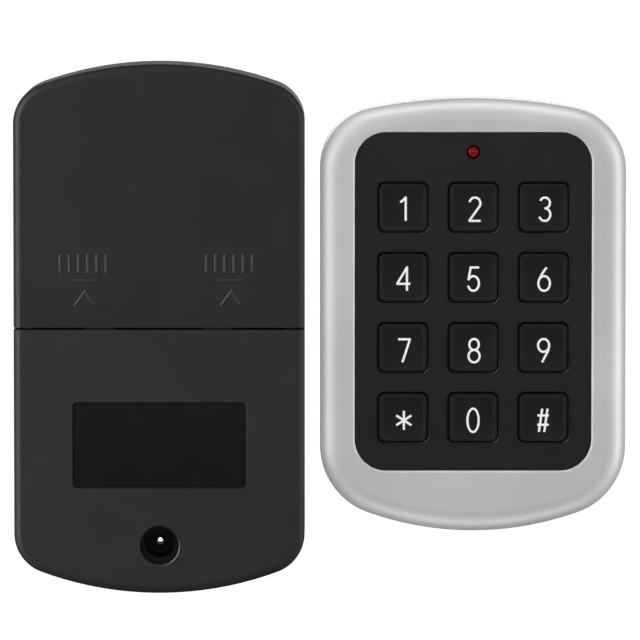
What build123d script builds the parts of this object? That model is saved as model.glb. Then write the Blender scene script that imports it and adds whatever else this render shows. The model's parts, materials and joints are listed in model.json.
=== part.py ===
import math
import os

from build123d import *

os.makedirs("parts", exist_ok=True)

# Electronic cabinet lock: a black inside unit and a silver keypad unit, side by side.
# X is width, Z is height. Both units have their mounting faces at y = 0 and face -Y.
# A depth is measured from the mounting face towards the user, so it lies at y = -depth.

# Clearances and shared fasteners
overrun = 1.0
seat_gap = 0.1
slide_gap = 0.3
bore_gap = 0.05
case_screw_radius, case_screw_head_radius, case_screw_length = 1.2, 2.4, 8.0
case_pilot_depth = 9.0
small_screw_radius, small_screw_head_radius, small_screw_head_height = 0.9, 1.8, 1.2
small_screw_length, small_pilot_depth = 3.4, 4.0
mount_screw_radius, mount_screw_head_radius = 1.7, 3.1
mount_screw_spacing = 36.0

# Rear unit housing
cell_front_gap, cover_end_room, jack_top_gap = 0.4, 9.775, 0.425
rear_top_arc, rear_bottom_arc, rear_corner = 71.2, 69.0, 8.4
rear_edge_fillet = 1.7
rear_wall, rear_front_wall = 1.8, 2.0
back_plate_thickness = 2.0
split_gap = 0.45
flange_depth, flange_thickness = 6.0, 1.0
bay_floor_depth, tray_wall = 7.0, 2.0
groove_height, groove_reach = 1.6, 1.0
case_boss_radius = 2.4
top_screw_side, top_screw_drop = 10.5, 7.15
bottom_screw_side, bottom_screw_rise = 7.2, 10.25

# Battery cover
rail_length, rail_inset = 38.0, 2.0
latch_width, latch_thickness, latch_reach, latch_place = 6.0, 0.8, 4.0, 12.0
latch_gap, latch_root = 0.15, 1.5

# Recess and power inlet in the front wall
recess_width, recess_height, recess_depth, recess_corner = 35.2, 17.6, 0.8, 1.0
recess_drop = 23.7
inlet_radius, inlet_wall, inlet_lift = 4.05, 1.4, 9.8
inlet_well_depth = 14.3

# Cells
cell_radius, cell_length = 5.25, 44.5
cell_nub_radius, cell_nub_length, cell_edge, cell_spacing_gap = 1.9, 1.0, 0.5, 0.4
contact_thickness, contact_width, contact_dimple, contact_slope = 0.4, 7.0, 0.5, 25.0
contact_rib, contact_rib_reach = 1.0, 1.6
saddle_width, saddle_height, saddle_place = 1.6, 1.6, 12.0
spring_room, spring_wire, spring_wire_sides = 4.95, 0.3, 6
spring_base_radius, spring_tip_radius, spring_turns = 3.4, 1.9, 3

# Gearmotor, standing on the drive pinion
motor_x, motor_width, motor_thickness, motor_front_gap, motor_top_gap = -4.0, 12.0, 10.0, 0.4, 0.9
gearbox_length, gearbox_plate = 9.0, 1.2
gearbox_wheel_radius, gearbox_pillar_radius = 3.6, 0.8
can_length, can_bush_radius, can_bush_length = 15.0, 2.4, 0.8
bracket_thickness, bracket_width, bracket_ear, bracket_lift = 0.8, 6.0, 4.4, 4.2
bracket_leg = 4.8
shaft_radius, shaft_flat, shaft_length, shaft_journal = 1.5, 0.5, 8.6, 3.0

# Rack and pinion
tooth_module, pinion_teeth, pressure_angle = 0.5, 14, 25.0
tooth_root_clearance, tooth_backlash = 0.1, 0.12
pinion_face, pinion_drop = 4.8, 1.2

# Lock bolt and its guide
bolt_travel, bolt_height, bolt_drop, bolt_back_depth, bolt_tail_spare = 9.0, 9.0, 0.6, 2.8, 4.0
bolt_flush_gap, bolt_nose, bolt_slot_gap = 0.2, 0.8, 0.2
rack_strip_width = 5.6
runner_height, rail_width, rail_height, rail_end_gap = 0.5, 1.0, 3.5, 0.8
guide_width, guide_thickness, guide_leg = 9.6, 1.5, 1.8
guide_ear_height, guide_screw_spacing = 4.2, 5.4
switch_width, switch_height, switch_depth, switch_lever = 5.8, 6.5, 5.8, 0.3

# Control board and what stands on it
board_thickness, board_back_depth, board_side_gap, board_edge_gap = 1.2, 3.6, 1.4, 0.6
board_foot_left, board_jack_edge, board_tail_gap = -13.0, 0.4, 3.5
board_screw_inset, board_boss_radius = 2.2, 2.0
jack_size, jack_body_depth, jack_floor, jack_bore = 9.0, 12.0, 1.0, 3.1
jack_pin_radius, jack_pin_depth, jack_spring_width, jack_spring_thickness = 1.05, 11.4, 1.6, 0.3
jack_spring_place, jack_spring_depth = 2.6, 11.0
header_width, header_depth, header_length, header_wall = 12.4, 6.4, 6.0, 1.0
header_pin, header_pitch, header_floor = 0.6, 2.5, 1.4
driver_length, driver_width, driver_height = 5.0, 4.0, 1.6
driver_inset_x, driver_inset_z = 4.4, 3.2
processor_length, processor_width, processor_height = 10.0, 6.0, 1.8
processor_inset_x, processor_inset_z = 7.4, 4.6
capacitor_radius, capacitor_height, capacitor_inset, capacitor_lift = 2.5, 7.0, 3.1, 7.6
cable_window_width, cable_window_height, cable_window_drop, cable_window_gap = 11.0, 9.0, 12.7, 3.5

# Keypad unit housing
unit_gap, keypad_rise = 3.1, 2.5
keypad_depth, bezel_side, bezel_top, bezel_bottom = 16.5, 7.15, 6.8, 12.7
keypad_top_arc, keypad_bottom_arc = 108.6, 63.5
keypad_top_corner, keypad_bottom_corner = 12.75, 14.6
keypad_edge_fillet, keypad_wall, keypad_front_wall, keypad_rim_chamfer = 4.2, 2.2, 2.4, 0.35
keypad_back_thickness, keypad_boss_radius, keypad_boss_depth = 2.0, 2.5, 12.0
keypad_boss_web, keypad_web_thickness = 5.2, 1.2
keypad_top_boss_side, keypad_top_boss_drop = 8.05, 8.5
keypad_bottom_boss_side, keypad_bottom_boss_rise = 9.9, 9.5

# Panel and keys
panel_corner, key_side_margin, key_top_margin, key_bottom_margin = 6.3, 2.575, 8.05, 3.65
panel_recess, panel_flange, panel_flange_thickness = 0.4, 1.2, 1.2
key_columns, key_rows, key_pitch, key_bar = 3, 4, 14.25, 3.9
key_opening_corner, key_gap = 1.4, 0.24
key_pocket_reach, key_flange_reach, key_flange_thickness, key_ledge_gap = 0.875, 0.6, 0.9, 0.1
key_proud, key_edge, key_rim, key_dish, key_dish_slope = 0.6, 0.3, 0.75, 0.18, 25.0
key_wall, key_top_thickness, key_post_radius = 1.235, 1.4, 1.75
key_travel = 0.6

# Keypad board and what stands on it
keypad_board_depth, keypad_board_thickness = 6.0, 1.6
board_side_room, board_top_room, board_bottom_room, keypad_board_corner = 4.6, 6.7, 15.9, 1.0
standoff_radius, standoff_inset = 1.9, 2.2
tact_size, tact_height, plunger_spare = 6.0, 3.5, 0.3
plunger_radius, plunger_length, plunger_gap, tact_floor = 1.7, 2.6, 0.08, 0.5
light_radius, light_gap, light_flange, light_drop, light_proud = 1.35, 0.1, 0.35, 3.95, 0.15
light_body, light_leg, light_leg_spacing = 5.3, 0.5, 1.6
buzzer_radius, buzzer_height, buzzer_port, buzzer_place = 4.75, 3.4, 1.0, (0, 24.0)
keypad_chip_place = (-12.0, -6.0)
keypad_header_place, keypad_header_depth, keypad_header_floor = (0, -16.0), 5.4, 1.2
insert_radius, insert_bore, insert_length, insert_rise, insert_boss_radius = 2.2, 1.25, 4.6, 9.5, 3.6
insert_mouth = 0.3

# Worked out from the values above
cell_pitch = 2 * cell_radius + cell_spacing_gap
cover_length = 4 * cell_pitch + cell_spacing_gap - split_gap / 2 + cover_end_room
drive_length = motor_top_gap + can_bush_length + can_length + gearbox_length + bolt_drop + bolt_height
inlet_drop = slide_gap + rail_width + board_edge_gap + jack_top_gap + jack_size / 2
rear_height = cover_length + split_gap / 2 + rear_wall + drive_length + inlet_drop + inlet_lift
split_height = rear_height / 2 - cover_length
bay_width = cell_length + spring_room + contact_dimple + bore_gap + 2 * contact_thickness
rear_width = bay_width + 2 * (tray_wall + slide_gap + rear_wall)
rear_depth = bay_floor_depth + seat_gap + 2 * cell_radius + cell_front_gap + rear_front_wall
panel_width = key_columns * key_pitch + 2 * key_side_margin
panel_height = key_rows * key_pitch + key_top_margin + key_bottom_margin
panel_rise = (bezel_bottom - bezel_top) / 2
keypad_width = panel_width + 2 * bezel_side
keypad_height = panel_height + bezel_top + bezel_bottom
rear_shape = (rear_width, rear_height, rear_top_arc, rear_bottom_arc, rear_corner, rear_corner)
keypad_shape = (
    keypad_width, keypad_height, keypad_top_arc, keypad_bottom_arc, keypad_top_corner, keypad_bottom_corner
)
keypad_x = rear_width / 2 + unit_gap + keypad_width / 2
rear_inside = rear_depth - rear_front_wall
housing_top = split_height - split_gap / 2
cover_bottom = split_height + split_gap / 2
tray_inset = rear_wall + slide_gap
tray_side = rear_width / 2 - tray_inset
rail_side = rear_width / 2 - rear_wall - groove_reach / 2
bay_side = tray_side - tray_wall
tray_rim_depth = rear_inside - slide_gap
cell_depth = bay_floor_depth + seat_gap + cell_radius
cell_rises = [housing_top + cell_spacing_gap + cell_radius + number * cell_pitch for number in range(4)]
bay_top = cell_rises[3] + cell_radius + cell_spacing_gap
mount_rise = (cell_rises[1] + cell_rises[2]) / 2
case_screw_places = [
    (side * (rear_width / 2 - top_screw_side), rear_height / 2 - top_screw_drop) for side in (-1, 1)
] + [(side * (rear_width / 2 - bottom_screw_side), bottom_screw_rise - rear_height / 2) for side in (-1, 1)]
mount_places = [(side * mount_screw_spacing / 2, mount_rise) for side in (-1, 1)]
recess_rise = split_height - recess_drop
inlet_rise = inlet_lift - rear_height / 2
pitch_radius = tooth_module * pinion_teeth / 2
rack_pitch = math.pi * tooth_module
motor_depth = rear_inside - motor_front_gap - motor_thickness / 2
pitch_line = motor_depth - pitch_radius
rack_tip, rack_root = pitch_line + tooth_module, pitch_line - tooth_module - tooth_root_clearance
gearbox_bottom = housing_top - rear_wall - motor_top_gap - can_bush_length - can_length - gearbox_length
bolt_top = gearbox_bottom - bolt_drop
bolt_rise = bolt_top - bolt_height / 2
bolt_tail = bolt_travel + bolt_tail_spare
rack_teeth = math.ceil((bolt_travel + pitch_radius) / rack_pitch) + 2
pinion_top = gearbox_bottom - pinion_drop
bracket_rise = gearbox_bottom + bracket_lift
bracket_screw_side = motor_width / 2 + bracket_thickness + bracket_ear / 2
bracket_screws = [(motor_x + side * bracket_screw_side, bracket_rise) for side in (-1, 1)]
bracket_seat = motor_depth - motor_thickness / 2 + bracket_leg + bracket_thickness
guide_x = rear_wall + slide_gap + guide_width / 2 - rear_width / 2
guide_back = rack_root + bolt_slot_gap
guide_front = guide_back + guide_thickness
guide_ear_rise = bolt_top + bolt_slot_gap + guide_leg + guide_ear_height / 2
guide_screws = [(guide_x + side * guide_screw_spacing / 2, guide_ear_rise) for side in (-1, 1)]
board_front = board_back_depth + board_thickness
board_foot_right = rear_width / 2 - bottom_screw_side - case_boss_radius - board_edge_gap
board_foot_bottom = inlet_rise - jack_size / 2 - board_jack_edge
board_foot_top = bolt_rise - bolt_height / 2 - slide_gap - rail_width - board_edge_gap
board_arm_left = motor_x + bolt_tail + board_tail_gap
board_arm_right = rear_width / 2 - rear_wall - board_side_gap
board_arm_bottom = bottom_screw_rise - rear_height / 2 + case_boss_radius + board_edge_gap
cable_window_rise = housing_top - rear_wall - cable_window_drop
board_arm_top = cable_window_rise - cable_window_height / 2 - cable_window_gap
header_place = (board_arm_left + board_arm_right) / 2
board_screws = [
    (board_arm_right - board_screw_inset, board_arm_bottom + board_screw_inset),
    (board_foot_left + board_screw_inset, board_foot_top - board_screw_inset),
]
driver_place = (board_foot_left + driver_inset_x, board_foot_bottom + driver_inset_z)
processor_place = (board_foot_right - processor_inset_x, board_foot_bottom + processor_inset_z)
capacitor_place = (board_arm_right - capacitor_inset, board_arm_bottom + capacitor_lift)
panel_front = keypad_depth - panel_recess
panel_ledge = keypad_depth - keypad_front_wall
panel_back = panel_ledge - panel_flange_thickness
key_grid_rise = panel_rise - (key_top_margin - key_bottom_margin) / 2
key_opening = key_pitch - key_bar
key_top = panel_front + key_proud
key_back = panel_ledge - key_ledge_gap - key_flange_thickness
key_size = key_opening - 2 * key_gap
key_cavity = key_size - 2 * key_wall
key_pocket = key_opening + 2 * key_pocket_reach
keypad_board_width = keypad_width - 2 * keypad_wall - 2 * board_side_room
keypad_board_height = keypad_height - 2 * keypad_wall - board_top_room - board_bottom_room
keypad_board_rise = (board_bottom_room - board_top_room) / 2
keypad_board_front = keypad_board_depth + keypad_board_thickness
tact_front = keypad_board_front + tact_height
plunger_front = tact_front + key_travel + plunger_spare
key_names = ["1", "2", "3", "4", "5", "6", "7", "8", "9", "star", "0", "hash"]
key_places = [
    ((column - (key_columns - 1) / 2) * key_pitch, key_grid_rise + ((key_rows - 1) / 2 - row) * key_pitch)
    for row in range(key_rows)
    for column in range(key_columns)
]
standoff_places = [
    (side * (keypad_board_width / 2 - standoff_inset), key_grid_rise + end * key_pitch)
    for side in (-1, 1)
    for end in (-1, 1)
]
keypad_boss_places = [
    (side * (keypad_width / 2 - keypad_top_boss_side), keypad_height / 2 - keypad_top_boss_drop)
    for side in (-1, 1)
] + [
    (side * (keypad_width / 2 - keypad_bottom_boss_side), keypad_bottom_boss_rise - keypad_height / 2)
    for side in (-1, 1)
]
light_rise = panel_rise + panel_height / 2 - light_drop
insert_places = [(side * mount_screw_spacing / 2, insert_rise) for side in (-1, 1)]


def rear_at(depth):
    return Plane.XZ.offset(depth)


def keypad_at(depth):
    return Plane(origin=(keypad_x, -depth, keypad_rise), x_dir=(1, 0, 0), z_dir=(0, -1, 0))


# The outline of either housing: straight sides, arched ends and round corners, drawn in by an inset
def arched_outline(shape, inset=0):
    width, height, top_arc, bottom_arc, top_corner, bottom_corner = shape
    half, top, bottom = width / 2 - inset, height / 2 - inset, inset - height / 2
    shoulder = top - (top_arc - inset) + math.sqrt((top_arc - inset) ** 2 - half**2)
    foot = bottom + (bottom_arc - inset) - math.sqrt((bottom_arc - inset) ** 2 - half**2)
    with BuildSketch() as outline:
        with BuildLine():
            Line((-half, foot), (-half, shoulder))
            ThreePointArc((-half, shoulder), (0, top), (half, shoulder))
            Line((half, shoulder), (half, foot))
            ThreePointArc((half, foot), (0, bottom), (-half, foot))
        make_face()
        fillet(outline.vertices().group_by(Axis.Y)[-1], top_corner - inset)
        fillet(outline.vertices().group_by(Axis.Y)[0], bottom_corner - inset)
    return outline.sketch


# The part of the rear outline that lies between two heights
def outline_band(inset, low, high):
    with BuildSketch() as band:
        add(arched_outline(rear_shape, inset))
        with Locations((0, (low + high) / 2)):
            Rectangle(rear_width, high - low, mode=Mode.INTERSECT)
    return band.sketch


# A wire that tapers from a wide foot to a narrow tip, swept as two tangent arcs to a quarter turn
def coil_spring(foot, axis, length):
    frame = Plane(origin=foot, z_dir=axis)
    steps = 4 * spring_turns
    sweep_angle = 2 * math.pi * spring_turns
    taper = spring_tip_radius - spring_base_radius
    points, ways = [], []
    for step in range(steps + 1):
        share = step / steps
        angle, radius = sweep_angle * share, spring_base_radius + taper * share
        cosine, sine = math.cos(angle), math.sin(angle)
        points.append(frame.from_local_coords(Vector(radius * cosine, radius * sine, length * share)))
        way = Vector(
            taper * cosine - radius * sweep_angle * sine,
            taper * sine + radius * sweep_angle * cosine,
            length,
        )
        ways.append((frame.x_dir * way.X + frame.y_dir * way.Y + frame.z_dir * way.Z).normalized())
    with BuildPart() as spring:
        with BuildLine() as path:
            for start, end, start_way, end_way in zip(points, points[1:], ways, ways[1:]):
                chord, both = end - start, start_way + end_way
                spread = 2 * (1 - start_way.dot(end_way))
                along = chord.dot(both)
                reach = (math.sqrt(along**2 + spread * chord.dot(chord)) - along) / spread
                middle = (start + end + (start_way - end_way) * reach) / 2
                TangentArc(start, middle, tangent=start_way)
                TangentArc(end, middle, tangent=end_way * -1)
        with BuildSketch(Plane(origin=points[0], z_dir=ways[0])):
            RegularPolygon(spring_wire, spring_wire_sides)
        sweep(path=path.line)
    return spring.part


# An involute spur gear profile, with each flank an arc through three points of its involute
def gear_profile():
    base_radius = pitch_radius * math.cos(math.radians(pressure_angle))
    tip_radius = pitch_radius + tooth_module
    root_radius = pitch_radius - tooth_module - tooth_root_clearance
    flank_angle = math.tan(math.radians(pressure_angle)) - math.radians(pressure_angle)
    half_tooth = math.pi / (2 * pinion_teeth) - tooth_backlash / (2 * pitch_radius) + flank_angle
    flank = []
    for radius in (base_radius, (base_radius + tip_radius) / 2, tip_radius):
        roll = math.acos(base_radius / radius)
        flank.append((radius, half_tooth - (math.tan(roll) - roll)))
    with BuildSketch() as profile:
        Circle(root_radius)
        with PolarLocations(0, pinion_teeth):
            with BuildSketch(mode=Mode.PRIVATE) as tooth:
                with BuildLine():
                    left = [Vector(r * math.cos(a), r * math.sin(a)) for r, a in flank]
                    right = [Vector(r * math.cos(a), -r * math.sin(a)) for r, a in flank]
                    ThreePointArc(*left)
                    ThreePointArc(left[2], (tip_radius, 0), right[2])
                    ThreePointArc(*reversed(right))
                    Line(right[0], (0, 0))
                    Line((0, 0), left[0])
                make_face()
            add(tooth.sketch)
    return profile.sketch


with BuildPart() as rear_housing:
    with BuildSketch(rear_at(back_plate_thickness)):
        add(arched_outline(rear_shape))
    extrude(amount=rear_depth - back_plate_thickness)
    fillet(rear_housing.faces().sort_by(Axis.Y)[0].edges(), rear_edge_fillet)
    # Above the split only a low flange and the battery tray are left
    with BuildSketch(rear_at(flange_depth)):
        with Locations((0, (housing_top + rear_height) / 2)):
            Rectangle(rear_width + 2 * overrun, rear_height - housing_top)
    extrude(amount=rear_depth - flange_depth, mode=Mode.SUBTRACT)
    with BuildSketch(rear_at(flange_depth - flange_thickness)):
        add(outline_band(tray_inset, housing_top - rear_wall, bay_top + tray_wall))
    extrude(amount=tray_rim_depth - flange_depth + flange_thickness)
    with BuildSketch(rear_at(bay_floor_depth)):
        add(outline_band(tray_inset + tray_wall, housing_top, bay_top))
    extrude(amount=rear_depth - bay_floor_depth, mode=Mode.SUBTRACT)
    with BuildSketch(rear_at(back_plate_thickness)):
        add(outline_band(rear_wall, -rear_height / 2, housing_top - rear_wall))
    extrude(amount=rear_inside - back_plate_thickness, mode=Mode.SUBTRACT)
    with BuildSketch(rear_at(back_plate_thickness)):
        add(outline_band(rear_wall, housing_top, rear_height / 2))
    extrude(amount=flange_depth - flange_thickness - back_plate_thickness, mode=Mode.SUBTRACT)
    # Grooves for the cover's rails, open at the top
    with BuildSketch(rear_at(flange_depth)):
        for side in (-1, 1):
            with Locations((side * (tray_side + overrun / 2), (housing_top + rear_height) / 2)):
                Rectangle(2 * groove_reach + overrun, rear_height - housing_top)
    extrude(amount=groove_height, mode=Mode.SUBTRACT)
    # Pockets behind the front wall for the cover's latch tongues
    with BuildSketch(rear_at(rear_inside)):
        for side in (-1, 1):
            with Locations((side * latch_place, cover_bottom - (latch_reach + latch_gap) / 2)):
                Rectangle(latch_width + 2 * latch_gap, latch_reach + latch_gap)
    extrude(amount=latch_thickness + 2 * latch_gap, mode=Mode.SUBTRACT)
    # Ribs that keep the contact plates apart, and saddles under the cells
    with BuildSketch(rear_at(bay_floor_depth)):
        for side, between in ((-1, 0), (1, 1), (-1, 2)):
            with Locations((side * (bay_side - contact_rib_reach / 2), cell_rises[between] + cell_pitch / 2)):
                Rectangle(contact_rib_reach, contact_rib)
    extrude(amount=cell_depth - bay_floor_depth)
    with BuildSketch(rear_at(bay_floor_depth)):
        with Locations(*[(side * saddle_place, (housing_top + bay_top) / 2) for side in (-1, 1)]):
            Rectangle(saddle_width, bay_top - housing_top)
    extrude(amount=saddle_height)
    with BuildSketch(Plane.YZ.offset(-bay_side + contact_rib_reach)):
        with Locations(*[(-cell_depth, rise) for rise in cell_rises]):
            Circle(cell_radius + seat_gap)
    extrude(amount=2 * (bay_side - contact_rib_reach), mode=Mode.SUBTRACT)
    # Posts for the mounting screws and the back plate's screws
    with BuildSketch(rear_at(back_plate_thickness)):
        with Locations(*mount_places):
            Circle(mount_screw_head_radius + rear_wall / 2)
    extrude(amount=flange_depth - back_plate_thickness)
    with Locations(rear_at(bay_floor_depth)):
        with Locations(*mount_places):
            CounterSinkHole(mount_screw_radius, mount_screw_head_radius)
    with BuildSketch(rear_at(back_plate_thickness)):
        with Locations(*case_screw_places[:2]):
            Circle(case_boss_radius)
    extrude(amount=case_pilot_depth + rear_wall)
    with BuildSketch(rear_at(back_plate_thickness)):
        with Locations(*case_screw_places[2:]):
            Circle(case_boss_radius)
    extrude(amount=rear_inside - back_plate_thickness)
    with BuildSketch(rear_at(back_plate_thickness)):
        with Locations(*case_screw_places):
            Circle(case_screw_radius + bore_gap)
    extrude(amount=case_pilot_depth, mode=Mode.SUBTRACT)
    # Shallow recess and the power inlet's well
    with BuildSketch(rear_at(rear_depth)):
        with Locations((0, recess_rise)):
            RectangleRounded(recess_width, recess_height, recess_corner)
    extrude(amount=-recess_depth, mode=Mode.SUBTRACT)
    with BuildSketch(rear_at(inlet_well_depth)):
        with Locations((0, inlet_rise)):
            Circle(inlet_radius + inlet_wall)
    extrude(amount=rear_inside - inlet_well_depth)
    with BuildSketch(rear_at(inlet_well_depth)):
        with Locations((0, inlet_rise)):
            Circle(inlet_radius)
    extrude(amount=rear_depth - inlet_well_depth, mode=Mode.SUBTRACT)
    # Slot in the left wall for the bolt
    with BuildSketch(rear_at(bolt_back_depth - bolt_slot_gap)):
        with Locations(((rear_wall - rear_width) / 2, bolt_rise)):
            Rectangle(rear_wall + 2 * overrun, bolt_height + 2 * bolt_slot_gap)
    extrude(amount=rack_root - bolt_back_depth + 2 * bolt_slot_gap, mode=Mode.SUBTRACT)
    # Pads under the motor, and pillars for its bracket, the bolt guide and the control board
    with BuildSketch(rear_at(rear_inside - motor_front_gap)):
        with Locations((motor_x, bracket_rise), (motor_x, gearbox_bottom + gearbox_length + can_length / 2)):
            Rectangle(motor_width, rear_wall)
    extrude(amount=motor_front_gap)
    for places, seat, radius in (
        (bracket_screws, bracket_seat, board_boss_radius),
        (guide_screws, guide_front, board_boss_radius),
        (board_screws, board_front, board_boss_radius),
    ):
        with BuildSketch(rear_at(seat)):
            with Locations(*places):
                Circle(radius)
        extrude(amount=rear_inside - seat)
        with BuildSketch(rear_at(seat)):
            with Locations(*places):
                Circle(small_screw_radius + bore_gap)
        extrude(amount=small_pilot_depth, mode=Mode.SUBTRACT)
    # Rib that backs the guide's lower leg
    with BuildSketch(rear_at(guide_front)):
        with Locations((guide_x, bolt_rise - bolt_height / 2 - bolt_slot_gap - guide_leg / 2)):
            Rectangle(guide_width, guide_leg)
    extrude(amount=rear_inside - guide_front)
rear_housing.part.label = "rear_housing"
export_step(rear_housing.part, "parts/rear_housing.step")

with BuildPart() as back_plate:
    with BuildSketch(rear_at(0)):
        add(arched_outline(rear_shape))
    extrude(amount=back_plate_thickness)
    # Locating lip just inside the housing wall
    with BuildSketch(rear_at(back_plate_thickness)):
        add(arched_outline(rear_shape, rear_wall + seat_gap))
        add(arched_outline(rear_shape, 2 * rear_wall), mode=Mode.SUBTRACT)
        with Locations(*case_screw_places):
            Circle(case_boss_radius + slide_gap, mode=Mode.SUBTRACT)
        with Locations((0, housing_top - rear_wall / 2)):
            Rectangle(rear_width, rear_wall + 2 * seat_gap, mode=Mode.SUBTRACT)
    extrude(amount=runner_height)
    # Runner under the bolt, and rails above and below it
    runner_left = guide_x + guide_width / 2 + rail_end_gap
    runner_right = motor_x + bolt_tail
    runner_x, runner_length = (runner_left + runner_right) / 2, runner_right - runner_left
    with BuildSketch(rear_at(back_plate_thickness)):
        with Locations((runner_x, bolt_rise)):
            Rectangle(runner_length, bolt_height / 2)
    extrude(amount=runner_height)
    with BuildSketch(rear_at(back_plate_thickness)):
        for side in (-1, 1):
            with Locations((runner_x, bolt_rise + side * (bolt_height / 2 + slide_gap + rail_width / 2))):
                Rectangle(runner_length, rail_width)
    extrude(amount=rail_height)
    with BuildSketch(rear_at(0)):
        with Locations((header_place, cable_window_rise)):
            RectangleRounded(cable_window_width, cable_window_height, rear_wall / 2)
        with Locations(*mount_places):
            Circle(mount_screw_radius)
    extrude(amount=back_plate_thickness, mode=Mode.SUBTRACT)
    with Locations(Plane(origin=(0, 0, 0), x_dir=(-1, 0, 0), z_dir=(0, 1, 0))):
        with Locations(*case_screw_places):
            CounterSinkHole(case_screw_radius + bore_gap, case_screw_head_radius + bore_gap)
back_plate.part.label = "back_plate"
export_step(back_plate.part, "parts/back_plate.step")

with BuildPart() as battery_cover:
    with BuildSketch(rear_at(back_plate_thickness)):
        add(arched_outline(rear_shape))
    extrude(amount=rear_depth - back_plate_thickness)
    fillet(battery_cover.faces().sort_by(Axis.Y)[0].edges(), rear_edge_fillet)
    with BuildSketch(rear_at(back_plate_thickness)):
        with Locations((0, (cover_bottom - rear_height) / 2)):
            Rectangle(rear_width + 2 * overrun, rear_height + cover_bottom)
    extrude(amount=rear_depth, mode=Mode.SUBTRACT)
    with BuildSketch(rear_at(back_plate_thickness)):
        Rectangle(rear_width + 2 * overrun, rear_height + 2 * overrun)
    extrude(amount=flange_depth + slide_gap - back_plate_thickness, mode=Mode.SUBTRACT)
    with BuildSketch(rear_at(flange_depth)):
        add(arched_outline(rear_shape, rear_wall))
    extrude(amount=rear_inside - flange_depth, mode=Mode.SUBTRACT)
    # Rails that run in the tray's grooves
    with BuildSketch(rear_at(flange_depth + slide_gap)):
        for side in (-1, 1):
            with Locations((side * rail_side, rail_inset + rail_length / 2)):
                Rectangle(groove_reach, rail_length)
    extrude(amount=groove_height - 2 * slide_gap)
    # Latch tongues that reach into the pockets behind the housing's front wall
    with BuildSketch(rear_at(rear_inside + latch_gap)):
        for side in (-1, 1):
            with Locations((side * latch_place, cover_bottom + (latch_root - latch_reach) / 2)):
                Rectangle(latch_width, latch_root + latch_reach)
    extrude(amount=latch_thickness)
battery_cover.part.label = "battery_cover"
export_step(battery_cover.part, "parts/battery_cover.step")

# The cells lie across the tray, with every other one turned round
for number, rise in enumerate(cell_rises):
    way = 1 if number % 2 == 0 else -1
    nub_end = way * (bay_side - contact_thickness - contact_dimple - bore_gap)
    can_end = nub_end - way * cell_nub_length
    cell_plane = Plane(origin=(nub_end - way * cell_length, -cell_depth, rise), z_dir=(way, 0, 0))
    with BuildPart() as battery:
        with BuildSketch(cell_plane):
            Circle(cell_radius)
        extrude(amount=cell_length - cell_nub_length)
        chamfer(battery.edges().filter_by(GeomType.CIRCLE), cell_edge)
        with BuildSketch(cell_plane.offset(cell_length - cell_nub_length)):
            Circle(cell_nub_radius)
        extrude(amount=cell_nub_length)
        chamfer(battery.faces().sort_by(Axis.X)[-1 if way > 0 else 0].edges(), cell_edge / 2)
    battery.part.label = f"battery_{number + 1}"
    export_step(battery.part, f"parts/battery_{number + 1}.step")

with BuildPart() as battery_springs:
    for number, rise in enumerate(cell_rises):
        way = 1 if number % 2 == 0 else -1
        foot = way * (contact_thickness + spring_wire + bore_gap - bay_side)
        room = 2 * (bay_side - contact_thickness) - contact_dimple - bore_gap - cell_length
        add(coil_spring((foot, -cell_depth, rise), (way, 0, 0), room - 2 * spring_wire - 2 * bore_gap))
battery_springs.part.label = "battery_springs"
export_step(battery_springs.part, "parts/battery_springs.step")

# Single plates at the two ends of the chain, and plates that join two cells between them
with BuildPart() as battery_contacts:
    for side, first, last in ((-1, 0, 0), (-1, 1, 2), (-1, 3, 3), (1, 0, 1), (1, 2, 3)):
        low, high = cell_rises[first] - contact_width / 2, cell_rises[last] + contact_width / 2
        with BuildSketch(Plane.YZ.offset(side * (bay_side - contact_thickness / 2))):
            with Locations((-cell_depth, (low + high) / 2)):
                RectangleRounded(contact_width, high - low, cell_edge)
        extrude(amount=contact_thickness / 2, both=True)
    for number, rise in enumerate(cell_rises):
        way = 1 if number % 2 == 0 else -1
        with BuildSketch(Plane.YZ.offset(way * (bay_side - contact_thickness))):
            with Locations((-cell_depth, rise)):
                Circle(cell_nub_radius)
        extrude(amount=-way * contact_dimple, taper=contact_slope)
battery_contacts.part.label = "battery_contacts"
export_step(battery_contacts.part, "parts/battery_contacts.step")

with BuildPart() as control_board:
    with BuildSketch(rear_at(board_back_depth)):
        with BuildLine():
            Polyline(
                (board_foot_left, board_foot_bottom),
                (board_foot_right, board_foot_bottom),
                (board_foot_right, board_arm_bottom),
                (board_arm_right, board_arm_bottom),
                (board_arm_right, board_arm_top),
                (board_arm_left, board_arm_top),
                (board_arm_left, board_foot_top),
                (board_foot_left, board_foot_top),
                close=True,
            )
        make_face()
        with Locations(*board_screws):
            Circle(small_screw_radius + bore_gap, mode=Mode.SUBTRACT)
    extrude(amount=board_thickness)
control_board.part.label = "control_board"
export_step(control_board.part, "parts/control_board.step")

with BuildPart() as board_parts:
    for place, length, width, height in (
        (driver_place, driver_length, driver_width, driver_height),
        (processor_place, processor_length, processor_width, processor_height),
    ):
        with BuildSketch(rear_at(board_front)):
            with Locations(place):
                Rectangle(length, width)
        extrude(amount=height)
    with BuildSketch(rear_at(board_front)):
        with Locations(capacitor_place):
            Circle(capacitor_radius)
    extrude(amount=capacitor_height)
board_parts.part.label = "board_parts"
export_step(board_parts.part, "parts/board_parts.step")

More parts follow.
